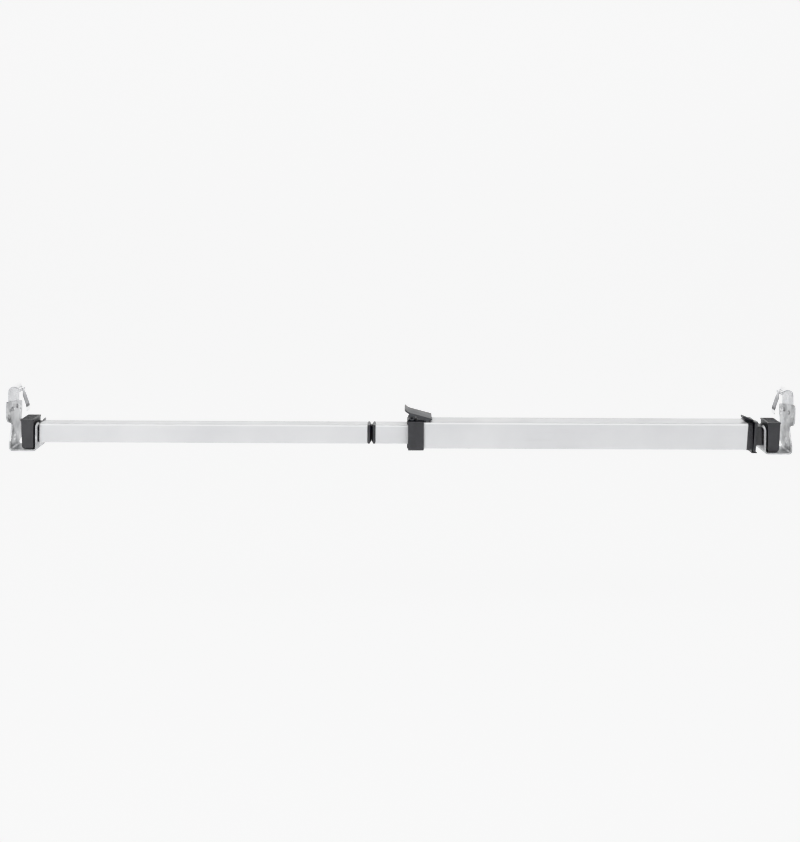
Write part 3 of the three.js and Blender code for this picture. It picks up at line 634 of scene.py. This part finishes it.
def coated_tube():
    """Light grey powder coat: orange peel, faint drag marks, dust on top, and a painted highlight along the
    upper corners.
    """
    s = Surface("coated_tube", 0.36)
    tint = s.blend(s.range(s.noise(9, 5), 0.35, 0.7, 0, 1), (0.46, 0.464, 0.475), (0.52, 0.524, 0.532))
    drag = s.noise(60, 4, 0.7, stretch=(0.25, 6, 6))
    scuffed = s.blend(s.range(drag, 0.6, 0.78, 0, 0.5), tint, (0.42, 0.42, 0.43))
    dust = s.product(s.facing_up(), s.range(s.noise(240, 6, 0.7), 0.5, 0.75, 0, 0.4))
    dusty = s.blend(dust, scuffed, (0.46, 0.455, 0.445))
    # Painted highlight: the rounded upper corners get a paler colour that stands in for the reflection that
    # lights them.
    painted_corner_highlight = s.product(s.facing_up(0.1, 0.4), s.facing_up(0.98, 0.8))
    s.colour(s.blend(painted_corner_highlight, dusty, (0.76, 0.765, 0.77)))
    s.roughness(s.range(s.noise(22, 6, 0.65), 0.3, 0.7, 0.3, 0.46))
    s.shader.inputs["Coat Weight"].default_value = 0.6
    s.shader.inputs["Coat Roughness"].default_value = 0.12
    s.bump(s.noise(1500, 2), 0.25, 0.05)
    s.bump(drag, 0.12, 0.05)
    return s.material


def plastic(name, colour, worn, roughness, grain=2600, strength=0.16):
    """Moulded plastic: fine grain, dull patches from handling and paler edges."""
    s = Surface(name, roughness)
    patch = s.noise(55, 5, 0.6)
    tint = s.blend(s.range(patch, 0.35, 0.7, 0, 1), colour, tuple(c * 1.22 + 0.004 for c in colour))
    wear = s.product(s.edge(0.5), s.range(s.noise(320, 4), 0.38, 0.66, 0, 0.75))
    s.colour(s.blend(wear, tint, worn))
    s.roughness(s.range(patch, 0.3, 0.7, roughness - 0.02, roughness + 0.1))
    s.bump(s.cells(grain), strength, 0.06)
    return s.material


def bracket_steel():
    """Zinc-plated sheet: faint spangle, soft waves from pressing, handling marks, bright edges."""
    s = Surface("bracket_steel", 0.36, 0.85)
    spangle = s.cells(210, "Color", stretch=(1, 1, 0.7))
    grey = s.blend(s.range(spangle, 0, 1, 0, 1), (0.34, 0.345, 0.355), (0.5, 0.505, 0.51))
    haze = s.noise(70, 5, 0.6)
    dulled = s.blend(s.range(haze, 0.5, 0.7, 0, 0.75), grey, (0.22, 0.223, 0.23))
    wear = s.product(s.edge(0.6), s.range(haze, 0.3, 0.6, 0.5, 1))
    s.colour(s.blend(wear, dulled, (0.95, 0.95, 0.95)))
    s.roughness(s.range(haze, 0.3, 0.72, 0.28, 0.5))
    s.bump(s.noise(95, 2), 0.35, 0.35)
    s.bump(s.noise(700, 4, 0.7, stretch=(1, 0.3, 3)), 0.1, 0.04)
    return s.material


def spring_steel():
    """Rolled strip with fine lines along it; painted shade down the tongue's slope, darkest at its bend, and
    painted highlights on its upright tip and on faces that point up.
    """
    s = Surface("spring_steel", 0.3, 0.9)
    lines = s.noise(900, 4, 0.7, stretch=(1, 3, 0.12))
    grey = s.blend(s.range(lines, 0.3, 0.7, 0, 1), (0.4, 0.405, 0.42), (0.58, 0.585, 0.595))
    # Painted highlight: the tongue's upright tip is paler, as if it faced the light.
    tip = s.blend(s.range(lines, 0.3, 0.7, 0, 1), (0.6, 0.6, 0.61), (0.8, 0.8, 0.8))
    # Painted shade: a near-black band where the tongue bends to upright.
    bend = s.blend(s.height_above(32.4, 33.8), tip, (0.05, 0.051, 0.055))
    # Painted shade: the tongue's sloping strip is darker, as if turned away from the light.
    strip = s.blend(s.height_above(34.6, 38), bend, (0.26, 0.263, 0.272))
    # The painted shade and highlight go on the tongue only: away from the end wall and below the knuckles.
    painted_tongue_shade = s.blend(s.off_the_wall(4, 9), grey, s.blend(s.height_above(48, 55), strip, grey))
    # Painted highlight: faces that point up are paler, as if lit from above.
    painted_highlight_up = s.product(s.facing_up(), s.range(lines, 0.2, 0.6, 0.6, 1))
    s.colour(s.blend(painted_highlight_up, painted_tongue_shade, (0.9, 0.9, 0.9)))
    s.roughness(s.range(s.noise(130, 4), 0.3, 0.7, 0.2, 0.4))
    s.bump(lines, 0.12, 0.03)
    s.bump(s.noise(120, 2), 0.2, 0.12)
    return s.material


def screw_steel():
    """Satin zinc on turned and headed pieces."""
    s = Surface("screw_steel", 0.34, 1.0)
    speckle = s.noise(650, 5, 0.7)
    s.colour(s.blend(s.range(speckle, 0.35, 0.7, 0, 1), (0.5, 0.505, 0.515), (0.68, 0.685, 0.69)))
    s.roughness(s.range(speckle, 0.3, 0.7, 0.26, 0.44))
    s.bump(speckle, 0.15, 0.04)
    return s.material


def black_tube():
    """Black powder coat, rubbed brighter along the edges that slide."""
    s = Surface("black_tube", 0.42)
    drag = s.noise(70, 4, 0.7, stretch=(0.3, 6, 6))
    tint = s.blend(s.range(drag, 0.55, 0.78, 0, 0.6), (0.05, 0.05, 0.052), (0.12, 0.12, 0.125))
    wear = s.product(s.edge(0.7), s.range(s.noise(260, 4), 0.45, 0.7, 0, 0.6))
    s.colour(s.blend(wear, tint, (0.3, 0.3, 0.31)))
    s.roughness(s.range(drag, 0.3, 0.7, 0.34, 0.5))
    s.bump(s.noise(1400, 2), 0.3, 0.05)
    return s.material


MATERIALS = {
    "coated_tube": coated_tube(),
    "dark_plastic": plastic("dark_plastic", (0.035, 0.035, 0.038), (0.14, 0.14, 0.145), 0.33),
    "lever_plastic": plastic("lever_plastic", (0.042, 0.043, 0.046), (0.2, 0.2, 0.205), 0.38, 2200, 0.2),
    "grey_plastic": plastic("grey_plastic", (0.2, 0.2, 0.21), (0.34, 0.34, 0.35), 0.5),
    "rubber": plastic("rubber", (0.025, 0.025, 0.026), (0.07, 0.07, 0.07), 0.75, 1800, 0.5),
    "bracket_steel": bracket_steel(),
    "spring_steel": spring_steel(),
    "screw_steel": screw_steel(),
    "black_tube": black_tube(),
}


def paint(obj, slot):
    obj.data.materials.clear()
    obj.data.materials.append(MATERIALS[slot])


def piece(obj, name, body, slot, node):
    """Names a finished piece, ties it to its CAD body and gives it its material."""
    obj.name = name
    obj.data.name = name
    paint(obj, slot)
    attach(obj, body)
    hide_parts(node)
    return obj


# ------------------------------------------------------------------ brackets and catches


def plate_outline():
    """A waist on the room side, a straight far side, and a top edge that falls away from the room."""
    half = CRADLE_HALF
    low = CRADLE_FLOOR + 2.4
    points = [(-half, low), (half, low), (PLATE_FAR_EDGE, -13), (PLATE_FAR_EDGE, 12)]
    points += bezier((PLATE_FAR_EDGE, 12), (PLATE_FAR_EDGE, 18), (SHOULDER, 19), (SHOULDER, 26))
    points += [(SHOULDER, 32)] + bezier((SHOULDER, 32), (SHOULDER, 34.5), (27.3, 35.7), (25, 36), 6)
    points += [(-24.5, 43.9)] + bezier((-24.5, 43.9), (-27, 44.3), (-SHOULDER, 43), (-SHOULDER, 40), 6)
    points += [(-SHOULDER, 29)] + bezier((-SHOULDER, 29), (-SHOULDER, 23), (-26, 16.8), (-19, 15.2))
    points += bezier((-19, 15.2), (-13, 14), (-8.6, 12.5), (-9.2, 7.5))
    return points + [(-16.5, -11)]


def leaf_outline(margin=0.0):
    wide, narrow = LEAF_HALF + margin, 14 + margin
    return rounded([
        (-narrow, 25 - margin, 1), (narrow, 25 - margin, 1), (narrow, 33 - margin), (wide, 36 - margin),
        (wide, 52, 4), (17.5, 58.5, 4), (17.5, 64), (-17.5, 64), (-17.5, 60, 4), (-wide, 56, 3),
        (-wide, 36 - margin), (-narrow, 33 - margin)])


def rivet_holes():
    return [rod("X", 1.8, (-1, SHEET + 1), (0, y, z)) for y, z in RIVETS]


def wall_screw_hole(y, z):
    beyond = SHEET + 1
    profile = [(0, -1), (2.3, -1), (2.3, 0.2), (4.5, SHEET - 0.5), (4.5, beyond), (0, beyond)]
    return turned("X", profile, (0, y, z))


def bracket():
    """Wall plate, floor and slotted inner wall, bent from one sheet."""
    middle = SHEET / 2
    floor = CRADLE_FLOOR - middle
    wall = CRADLE_REACH - middle
    line = rounded([(middle, -10), (middle, floor, 3.7), (wall, floor, 3.7), (wall, 10.4, 5),
                    (wall + HORN_FLARE, HORN_TOP)], closed=False, step=math.radians(7))
    cradle = prism("Y", ribbon(line, SHEET), both(CRADLE_HALF))
    slot = rounded([(-SLOT_HALF, SLOT_FLOOR, 1), (SLOT_HALF, SLOT_FLOOR, 1),
                    (SLOT_HALF, THROUGH), (-SLOT_HALF, THROUGH)])
    body = joined(cradle, prism("X", plate_outline(), (0, SHEET)))
    return without(
        body,
        prism("X", leaf_outline(GAP), (-1, LEAF + GAP)),
        prism("X", slot, (CRADLE_REACH - SHEET - 1, CRADLE_REACH + 6)),
        block((CRADLE_REACH + 0.1, CRADLE_REACH + 6), both(13), (10.9, HORN_TOP + 4)),
        *rivet_holes(),
        *(wall_screw_hole(y, z) for y, z in WALL_SCREWS))


def catch_leaf():
    """Up the wall, over the top in a soft fold and down to two rolled knuckles."""
    line = [(LEAF / 2, 20), (LEAF / 2, 57.2)]
    line += bezier((LEAF / 2, 57.2), (LEAF / 2, 60.4), (1.9, 61.3), (4.2, 61.2), 10)
    top = HINGE_Z + BARREL - LEAF / 2
    line += bezier((4.2, 61.2), (6.8, 61.1), (HINGE_X - 3.2, top), (HINGE_X, top), 12)
    sheet = prism("Y", ribbon(line, LEAF), both(LEAF_HALF))
    front = prism("X", leaf_outline(), (-1, HINGE_X + 4))
    near, far = HINGE_X - BARREL, HINGE_X + 4
    plan = rounded([(-1, -22), (1.2, -22), (4, -15, 3), (near, -BARREL_HALF), (far, -BARREL_HALF),
                    (far, BARREL_HALF), (near, BARREL_HALF), (4, 15, 3), (1.2, 22), (-1, 22)])
    common(sheet, front, prism("Z", plan, (20, 80)))
    joined(sheet, rod("Y", BARREL, both(BARREL_HALF), (HINGE_X, 0, HINGE_Z)))
    return without(
        sheet,
        block((near - 0.35, far), both(5.2), (HINGE_Z - 4, HINGE_Z + 6)),
        rod("Y", PIN_BORE, both(BARREL_HALF + 1), (HINGE_X, 0, HINGE_Z)),
        *rivet_holes())


def catch_tongue():
    """One knuckle and a strip that slopes down over the head and ends upright."""
    line = [(HINGE_X + 1.4, HINGE_Z - 0.8), (18.9, 36.4)]
    line += bezier((18.9, 36.4), (19.25, 35.3), (19.55, 34.2), (19.6, 33), 6)
    line += [(19.8, 27)]
    start, end = KNUCKLE
    half = 6
    outline = rounded([(start, 58), (start, 52.4, 1), (-half, 49, 1.5), (-half, 27, 2.6),
                       (half, 27, 2.6), (half, 49, 1.5), (end, 52.4, 1), (end, 58)])
    sheet = prism("Y", ribbon(line, LEAF), both(half))
    common(sheet, prism("X", outline, (HINGE_X - 3, HINGE_X + 12)))
    joined(sheet, rod("Y", BARREL, KNUCKLE, (HINGE_X, 0, HINGE_Z)))
    return without(sheet, rod("Y", PIN_BORE, both(9), (HINGE_X, 0, HINGE_Z)))


def catch_pin():
    end = BARREL_HALF + GAP
    half = [(PIN, end), (1.7, end), (1.7, end + 0.4), (1.2, end + 0.85), (0, end + 0.9)]
    profile = [(r, -h) for r, h in half[::-1]] + half
    return turned("Y", profile, (HINGE_X, 0, HINGE_Z), 28)


def catch_spring():
    radius, turns, start, pitch = 1.62, 2.75, -4.6, 0.78
    points = [(HINGE_X - 4.6, start, HINGE_Z + radius)]
    for i in range(int(turns * TURN_STEPS) + 1):
        angle = math.pi / 2 - 2 * math.pi * i / TURN_STEPS
        points.append((HINGE_X + radius * math.cos(angle), start + pitch * i / TURN_STEPS,
                       HINGE_Z + radius * math.sin(angle)))
    points.append((HINGE_X - 0.3, start + pitch * turns, HINGE_Z - 4))
    return wire(points, 0.28)


def rivet(y, z):
    face = SHEET + GAP
    dome = [(2.9, face), (2.85, face + 0.35), (2.55, face + 0.8), (1.9, face + 1.25), (1.0, face + 1.5)]
    return turned("X", [(0, 0.1), (1.5, 0.1), (1.5, face)] + dome + [(0, face + 1.6)], (0, y, z))


def wall_screw(y, z):
    """Countersunk, with a cross recess, cut off at the wall face."""
    top = SHEET - 0.2
    body = turned("X", [(0, 0.1), (2, 0.1), (4.2, top - 0.35), (4.2, top), (0, top)], (0, y, z))
    recess, arm, across = (top - 1.1, top + 1), 0.45, 2
    return without(body, block(recess, (y - arm, y + arm), (z - across, z + across)),
                   block(recess, (y - across, y + across), (z - arm, z + arm)))


def bracket_pieces(side):
    """The bracket at one end, with its catch, rivets and wall screws."""
    place = mirrored if side == "right" else (lambda obj: obj)
    fixed = f"{side}_bracket"

    def put(obj, name, body, slot, width, segments=3):
        edges_softened(place(obj), width, segments)
        piece(obj, f"{side}_{name}_fine", body, slot, f"{side}_{name}")

    put(bracket(), "bracket", fixed, "bracket_steel", 0.42)
    put(catch_leaf(), "catch_leaf", fixed, "spring_steel", 0.16, 2)
    put(catch_tongue(), "catch_tongue", f"{side}_catch", "spring_steel", 0.16, 2)
    put(catch_pin(), "catch_pin", fixed, "screw_steel", 0.1, 2)
    put(catch_spring(), "catch_spring", fixed, "spring_steel", 0.05, 1)
    for i, (y, z) in enumerate(RIVETS, 1):
        put(rivet(y, z), f"catch_rivet_{i}", fixed, "screw_steel", 0.1, 2)
    for i, (y, z) in enumerate(WALL_SCREWS, 1):
        put(wall_screw(y, z), f"wall_screw_{i}", fixed, "screw_steel", 0.12, 2)


# ------------------------------------------------------------------ bar


def roof_ribs():
    """Slanted ribs that end at the edge of the roof's sunk field."""
    middle = (HEAD_NEAR + HEAD_FAR) / 2 * MM
    slant = Matrix.Rotation(math.radians(45), 4, "Z")
    ribs = []
    for offset in range(-6 * RIB_PITCH, 6 * RIB_PITCH + 1, RIB_PITCH):
        rib = block((-22, 22), both(RIB_HALF), (HEAD_TOP - 0.9, HEAD_TOP - 0.04))
        ribs.append(moved(rib, Matrix.Translation((middle, offset * MM, 0)) @ slant))
    margin = FIELD_MARGIN - GAP
    fence = block((HEAD_NEAR + margin, HEAD_FAR - margin), both(HEAD_HALF - margin),
                  (HEAD_TOP - 2, HEAD_TOP + 1))
    return common(joined(ribs[0], *ribs[1:]), fence)


def head():
    """The moulded head, its thicker roof with a ribbed field, its neck and its hollow stem."""
    foot, eaves = CRADLE_FLOOR + GAP, HEAD_TOP - 2
    side = rounded([(HEAD_NEAR + 0.2, eaves), (HEAD_NEAR + 1.7, foot, 4.2), (HEAD_FAR, foot, 1.2),
                    (HEAD_FAR, eaves)])
    body = prism("Y", side, both(HEAD_HALF))
    roof = block((HEAD_NEAR - ROOF_LIP, HEAD_FAR + ROOF_LIP), both(HEAD_HALF + ROOF_LIP), (eaves, HEAD_TOP))
    neck = block((HEAD_FAR - 0.5, EXTENSION_START - GAP), both(NECK_HALF), (SLOT_FLOOR + GAP, 11.9))
    stem_half = SMALL_HALF - SMALL_WALL - GAP
    stem = prism("X", square(stem_half, 1), (EXTENSION_START - 2, STEM_END))
    joined(body, roof, neck, stem)
    field = block((HEAD_NEAR + FIELD_MARGIN, HEAD_FAR - FIELD_MARGIN), both(HEAD_HALF - FIELD_MARGIN),
                  (HEAD_TOP - 0.3, HEAD_TOP + 1))
    without(body, field)
    joined(body, roof_ribs())
    core = block((EXTENSION_START + 10, STEM_END + 1), both(stem_half - 2.2), both(stem_half - 2.2))
    hole = rod("Z", HEAD_SCREW_HOLE, (-stem_half - 3, -stem_half + 5), (HEAD_SCREW_X, 0, 0))
    return without(body, core, hole)


def tube_screw(x, tube_half, reach):
    """A pan-head screw that enters from below."""
    seat = -tube_half - GAP
    profile = [(0, seat - 1.5), (1.1, seat - 1.48), (1.8, seat - 1.3), (2.25, seat - 0.9)]
    profile += [(2.4, seat - 0.3), (2.4, seat), (SCREW_SHANK, seat)]
    profile += [(SCREW_SHANK, seat + reach), (0, seat + reach)]
    body = turned("Z", profile, (x, 0, 0))
    recess, across = (seat - 2, seat - 0.8), 1.5
    return without(body, block((x - across, x + across), both(SCREW_SLOT), recess),
                   block((x - SCREW_SLOT, x + SCREW_SLOT), both(across), recess))


def square_tube(half, wall, corner, span, screw_x=()):
    outer = prism("X", square(half, corner), span)
    bore = prism("X", square(half - wall, max(corner - wall, 0.5)), (span[0] - 5, span[1] + 5))
    holes = [rod("Z", SCREW_HOLE, (-half - 1, -half + 3), (x, 0, 0)) for x in screw_x]
    return without(outer, bore, *holes)


def loft(sections):
    """A solid through square sections (x, half, corner)."""
    bm = bmesh.new()
    rings = [[bm.verts.new((x, u, v)) for u, v in square(half, corner)] for x, half, corner in sections]
    return skinned("loft", bm, rings)


def joint_plug():
    """Drawn for the left tube: a spigot and a flange whose four sides slope down to the joint."""
    face = JOINT_X - JOINT_HALF_GAP
    shoulder = face - FLANGE
    body = loft([(shoulder, SMALL_HALF, 2), (face - FLANGE_SLOPE, SMALL_HALF, 2),
                 (face, SMALL_HALF - FLANGE_DEPTH, 1)])
    joined(body, prism("X", square(SMALL_HALF - SMALL_WALL - GAP, 1), (shoulder - 40, shoulder + 1)))
    return without(body, rod("X", STUD_BORE, (face - 34, face + 1), (0, 0, 0)))


def beyond_mitre(offset):
    """What lies beyond the large tube's leaning end."""
    slab = block((0, 80), both(40), both(60))
    place = Matrix.Translation(((OUTER_END + offset) * MM, 0, 0)) @ Matrix.Rotation(END_LEAN, 4, "Y")
    return moved(slab, place)


def outer_tube():
    span = (OUTER_START, OUTER_END + 4)
    tube = square_tube(LARGE_HALF, LARGE_WALL, 2.5, span, (COLLAR_SCREW_X, CAP_SCREW_X))
    return without(tube, beyond_mitre(0))


def collar_lug(span):
    outline = [(COLLAR_START - COLLAR_NOSE, LUG_FOOT), (PIVOT_X + LUG_RADIUS + 1.6, LUG_FOOT),
               (PIVOT_X + LUG_RADIUS, PIVOT_Z)]
    return prism("Y", outline + arc((PIVOT_X, PIVOT_Z), LUG_RADIUS, 0, 180)[1:], span)


def clamp_collar():
    """The collar with its nose, the lever's two lugs and the brake shoe's window."""
    body = prism("X", square(COLLAR_HALF, 2.5), (COLLAR_START, COLLAR_END))
    nose = block((COLLAR_START - COLLAR_NOSE, COLLAR_START + 1), both(NOSE_HALF), both(NOSE_TOP))
    joined(body, nose, collar_lug((-LUG_OUTER, -LUG_INNER)), collar_lug((LUG_INNER, LUG_OUTER)))
    room = SHOE_LENGTH / 2 + GAP
    window = block((SHOE_X - room, SHOE_X + room), both(SHOE_HALF + GAP), (10, COLLAR_HALF + 2))
    return without(
        body,
        prism("X", square(LARGE_HALF + GAP, 2.4), (OUTER_START - GAP, COLLAR_END + 1)),
        prism("X", square(SMALL_HALF + 0.35, 1.8), (COLLAR_START - 5, COLLAR_END)),
        window,
        rod("Y", PIVOT_HOLE, both(THROUGH), (PIVOT_X, 0, PIVOT_Z)),
        rod("Z", SCREW_HOLE, (-COLLAR_HALF - 2, -LARGE_HALF), (COLLAR_SCREW_X, 0, 0)))


def brake_shoe():
    half = SHOE_LENGTH / 2
    return block((SHOE_X - half, SHOE_X + half), both(SHOE_HALF), (SMALL_HALF + GAP, SHOE_TOP))


def lever_cheek(span):
    low, right_low = COLLAR_HALF + 0.6, LARGE_HALF + 0.8
    skirt = rounded([(535.4, low, 0.8), (545.3, low), (545.8, right_low), (552.6, right_low, 0.8),
                     (554.2, 20.9), (553.8, 21.9), (527.4, 28.9), (525.1, 28.9, 1), (525.3, 24),
                     (PIVOT_X, 24), (531, 25.2), (535.4, 25.2)])
    return joined(prism("Y", skirt, span), rod("Y", BOSS_RADIUS, span, (PIVOT_X, 0, PIVOT_Z)))


def clamp_lever():
    """A plate with a curled thumb lip, two cheeks, and the cam on its web between the lugs."""
    crest = (527.4, 28.6)
    line = [(555.1, 21.2), crest] + bezier(crest, (524.2, 29.5), (521.6, 31.1), (519.6, 33.6), 10)
    body = prism("Y", ribbon(line, LEVER_PLATE), both(LEVER_HALF))
    inner = LEVER_HALF - LEVER_CHEEK
    joined(body, *(lever_cheek(span) for span in ((-LEVER_HALF, -inner), (inner, LEVER_HALF))))
    cam_x = PIVOT_X + CAM_THROW * math.cos(CAM_ANGLE)
    cam_z = PIVOT_Z + CAM_THROW * math.sin(CAM_ANGLE)
    cam = [(cam_x + CAM_RADIUS, 27), (cam_x - CAM_RADIUS, 28)] + arc((cam_x, cam_z), CAM_RADIUS, 180, 360, 5)
    joined(body, prism("Y", cam, both(CAM_HALF)))
    return without(body, rod("Y", PIVOT_HOLE, both(THROUGH), (PIVOT_X, 0, PIVOT_Z)))


def lever_pin():
    return rod("Y", PIVOT_PIN, both(LEVER_HALF - PIN_RECESS), (PIVOT_X, 0, PIVOT_Z), 32)


def cap_groove(x):
    ring = block((x, x + GROOVE_WIDTH), both(CAP_HALF + 1), both(CAP_HALF + 1))
    return without(ring, prism("X", square(CAP_HALF - GROOVE_DEPTH, 2.4), (x - 1, x + 2)))


def cap_foot():
    """The ledge under the lock lever."""
    top, root = LOCK_FOOT - 0.4, -CAP_HALF + 1
    side = [(974.5, root), (975.2, CAP_FOOT_BOTTOM), (CAP_FOOT_END, CAP_FOOT_BOTTOM), (CAP_FOOT_END, top),
            (CAP_FACE, top), (CAP_FACE, root)]
    return prism("Y", side, both(CAP_FOOT_HALF))


def end_cap():
    """A ribbed flange on the leaning tube end, with a hollow stem inside and a foot under the lock lever."""
    body = common(prism("X", square(CAP_HALF, 3), (OUTER_END - 6, CAP_FACE)), beyond_mitre(GAP))
    stem_half = LARGE_HALF - LARGE_WALL - GAP
    stem = prism("X", square(stem_half, 1), (OUTER_END - CAP_STEM, CAP_FACE - 2))
    joined(body, stem, cap_foot())
    return without(
        body,
        prism("X", square(SMALL_HALF + GAP, 2), (OUTER_END - 60, CAP_FACE + 10)),
        rod("X", SPRING_RADIUS + 0.6, (SPRING_FROM - 0.3, CAP_FACE + 1), (0, 0, SPRING_Z)),
        rod("Z", SCREW_HOLE, (-stem_half - 1, -SMALL_HALF), (CAP_SCREW_X, 0, 0)),
        *(cap_groove(x) for x in CAP_GROOVES))


def lock_lever():
    """A plate round the end slide that leans and grips it, with a sloping thumb tab."""
    left = CAP_FACE + LOCK_GAP
    right = left + LOCK_THICK
    outline = rounded([(-LOCK_HALF, LOCK_FOOT, 3), (LOCK_HALF, LOCK_FOOT, 3), (LOCK_HALF, LOCK_TOP, 1.2),
                       (-LOCK_HALF, LOCK_TOP, 1.2)])
    plate = without(prism("X", outline, (left, right)),
                    prism("X", square(SMALL_HALF + 0.45, 2), (left - 1, right + 1)))
    pivot = Vector((left + LOCK_THICK / 2, 0, LOCK_FOOT)) * MM
    lean = Matrix.Translation(pivot) @ Matrix.Rotation(END_LEAN, 4, "Y") @ Matrix.Translation(-pivot)
    moved(plate, lean)
    tab = rounded([(972.6, 19.1, 3), (966.8, 21.3), (966.3, 25.6, 0.9), (982, 19.2), (982, 15.5),
                   (980, 15.5), (980, 18), (975.8, 18.8, 3)])
    joined(plate, prism("Y", tab, both(6)))
    return without(plate, moved(rod("X", SPRING_RADIUS + 0.7, (left - 1, left + 3), (0, 0, SPRING_Z)), lean))


def lock_spring():
    steps = SPRING_TURNS * TURN_STEPS
    length = SPRING_TO - SPRING_FROM - 2 * SPRING_WIRE
    points = []
    for i in range(steps + 1):
        angle = 2 * math.pi * SPRING_TURNS * i / steps
        points.append((SPRING_FROM + SPRING_WIRE + length * i / steps, SPRING_RADIUS * math.cos(angle),
                       SPRING_Z + SPRING_RADIUS * math.sin(angle)))
    return wire(points, SPRING_WIRE)


def bar_pieces():
    """The inner bar, the outer bar with its clamp and cap, the lock lever and the end slide."""
    def put(obj, name, body, slot, width, segments=3):
        edges_softened(obj, width, segments)
        piece(obj, f"{name}_fine", body, slot, name)

    to_flange = FLANGE + JOINT_HALF_GAP + GAP
    slide_end = SPAN - EXTENSION_START
    right_screw = SPAN - HEAD_SCREW_X

    put(head(), "left_head", "inner_bar", "dark_plastic", 0.22)
    put(tube_screw(HEAD_SCREW_X, SMALL_HALF, 6), "left_head_screw", "inner_bar", "screw_steel", 0.08, 2)
    put(square_tube(SMALL_HALF, SMALL_WALL, 2, (EXTENSION_START, JOINT_X - to_flange), (HEAD_SCREW_X,)),
        "extension_tube", "inner_bar", "coated_tube", 0.18)
    put(joint_plug(), "left_joint_plug", "inner_bar", "dark_plastic", 0.3)
    put(mirrored(joint_plug(), JOINT_X), "right_joint_plug", "inner_bar", "dark_plastic", 0.3)
    put(square_tube(SMALL_HALF, SMALL_WALL, 2, (JOINT_X + to_flange, INNER_END)),
        "inner_tube", "inner_bar", "coated_tube", 0.18)

    put(outer_tube(), "outer_tube", "outer_bar", "coated_tube", 0.2)
    put(clamp_collar(), "clamp_collar", "outer_bar", "dark_plastic", 0.3)
    put(tube_screw(COLLAR_SCREW_X, COLLAR_HALF, 4.5), "collar_screw", "outer_bar", "screw_steel", 0.08, 2)
    put(brake_shoe(), "brake_shoe", "brake_shoe", "rubber", 0.4)
    put(clamp_lever(), "clamp_lever", "clamp_lever", "lever_plastic", 0.35)
    # The pin takes the black finish so that its recessed ends read dark: a dark part standing in for the
    # shade in the lever's pin holes.
    put(lever_pin(), "lever_pin", "outer_bar", "black_tube", 0.3)

    put(end_cap(), "end_cap", "outer_bar", "dark_plastic", 0.2)
    put(tube_screw(CAP_SCREW_X, LARGE_HALF, 4), "end_cap_screw", "outer_bar", "screw_steel", 0.08, 2)
    put(lock_lever(), "lock_lever", "lock_lever", "dark_plastic", 0.35)
    put(lock_spring(), "lock_spring", "outer_bar", "spring_steel", 0.05, 1)
    put(square_tube(SMALL_HALF, SMALL_WALL, 2, (SLIDE_START, slide_end), (right_screw,)),
        "end_slide_tube", "end_slide", "black_tube", 0.18)
    put(mirrored(head()), "right_head", "end_slide", "dark_plastic", 0.22)
    put(tube_screw(right_screw, SMALL_HALF, 6), "right_head_screw", "end_slide", "screw_steel", 0.08, 2)


for end in ("left", "right"):
    bracket_pieces(end)
bar_pieces()

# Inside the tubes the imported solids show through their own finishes.
for node, inner_slot in (("joint_stud", "screw_steel"), ("guide_bush", "grey_plastic"),
                         ("slide_stop_bush", "grey_plastic")):
    paint(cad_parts[node], inner_slot)

# ------------------------------------------------------------------ stage, light and camera


FLOOR, BACKDROP, SWEEP_RADIUS = -0.38, 2.8, 1.2
PALE, SELF_LIGHT = ((0.87, 0.87, 0.87), (0.9, 0.9, 0.9)), 0.7
LIGHTS = {  # place and size in metres, watts
    "overhead": ((0.4, -0.4, 1.9), (2.6, 1.4), 5),
    "front_left": ((-1.2, -2.0, 0.6), (1.4, 1.4), 18),
    "front_right": ((2.3, -1.9, 0.6), (1.4, 1.4), 6),
    "strip": ((0.4, -1.7, 1.35), (2.8, 0.4), 26),
}
SKY = 0.3
CAMERA_PLACE, CAMERA_ROLL = (0.5133, -1.4595, 0.355), math.radians(-0.25)
LENS, SHIFT = 47.03, (-0.0015, -0.304)


def sweep():
    """A pale floor that curves up into the backdrop."""
    bend = (BACKDROP - SWEEP_RADIUS, FLOOR + SWEEP_RADIUS)
    line = [(-3.2, FLOOR)] + arc(bend, SWEEP_RADIUS, -90, 0, 6) + [(BACKDROP, 4.5)]
    bm = bmesh.new()
    rows = [[bm.verts.new((x, y, z)) for y, z in line] for x in (-4.0, 5.0)]
    for i in range(len(line) - 1):
        bm.faces.new((rows[0][i], rows[1][i], rows[1][i + 1], rows[0][i + 1]))
    mesh = bpy.data.meshes.new("sweep")
    bm.to_mesh(mesh)
    bm.free()
    mesh.polygons.foreach_set("use_smooth", [True] * len(mesh.polygons))
    obj = placed("sweep", mesh)
    s = Surface("pale_floor", 0.9)
    s.colour(s.blend(s.noise(6, 3), *PALE))
    s.shader.inputs["Emission Color"].default_value = (1, 1, 1, 1)
    s.shader.inputs["Emission Strength"].default_value = SELF_LIGHT
    mesh.materials.append(s.material)


def softbox(name, place, aim, size, power):
    light = bpy.data.lights.new(name, "AREA")
    light.shape = "RECTANGLE"
    light.size, light.size_y = size
    light.energy = power
    obj = placed(name, light)
    obj.location = place
    obj.rotation_euler = (Vector(aim) - Vector(place)).to_track_quat("-Z", "Y").to_euler()


def lights():
    for name, (place, size, power) in LIGHTS.items():
        softbox(name, place, (SPAN / 2 * MM, 0, 0), size, power)
    world = bpy.data.worlds.new("studio")
    world.use_nodes = True
    background = world.node_tree.nodes["Background"]
    background.inputs["Color"].default_value = (1, 1, 1, 1)
    background.inputs["Strength"].default_value = SKY
    scene.world = world


def camera():
    """Above the bar and straight on to it, framed by shift."""
    data = bpy.data.cameras.new("camera")
    data.sensor_width = 36
    data.lens = LENS
    data.shift_x, data.shift_y = SHIFT
    obj = placed("camera", data)
    obj.location = CAMERA_PLACE
    obj.rotation_euler = (math.radians(90), CAMERA_ROLL, 0)
    scene.camera = obj


sweep()
lights()
camera()
scene.view_settings.view_transform = "Khronos PBR Neutral"
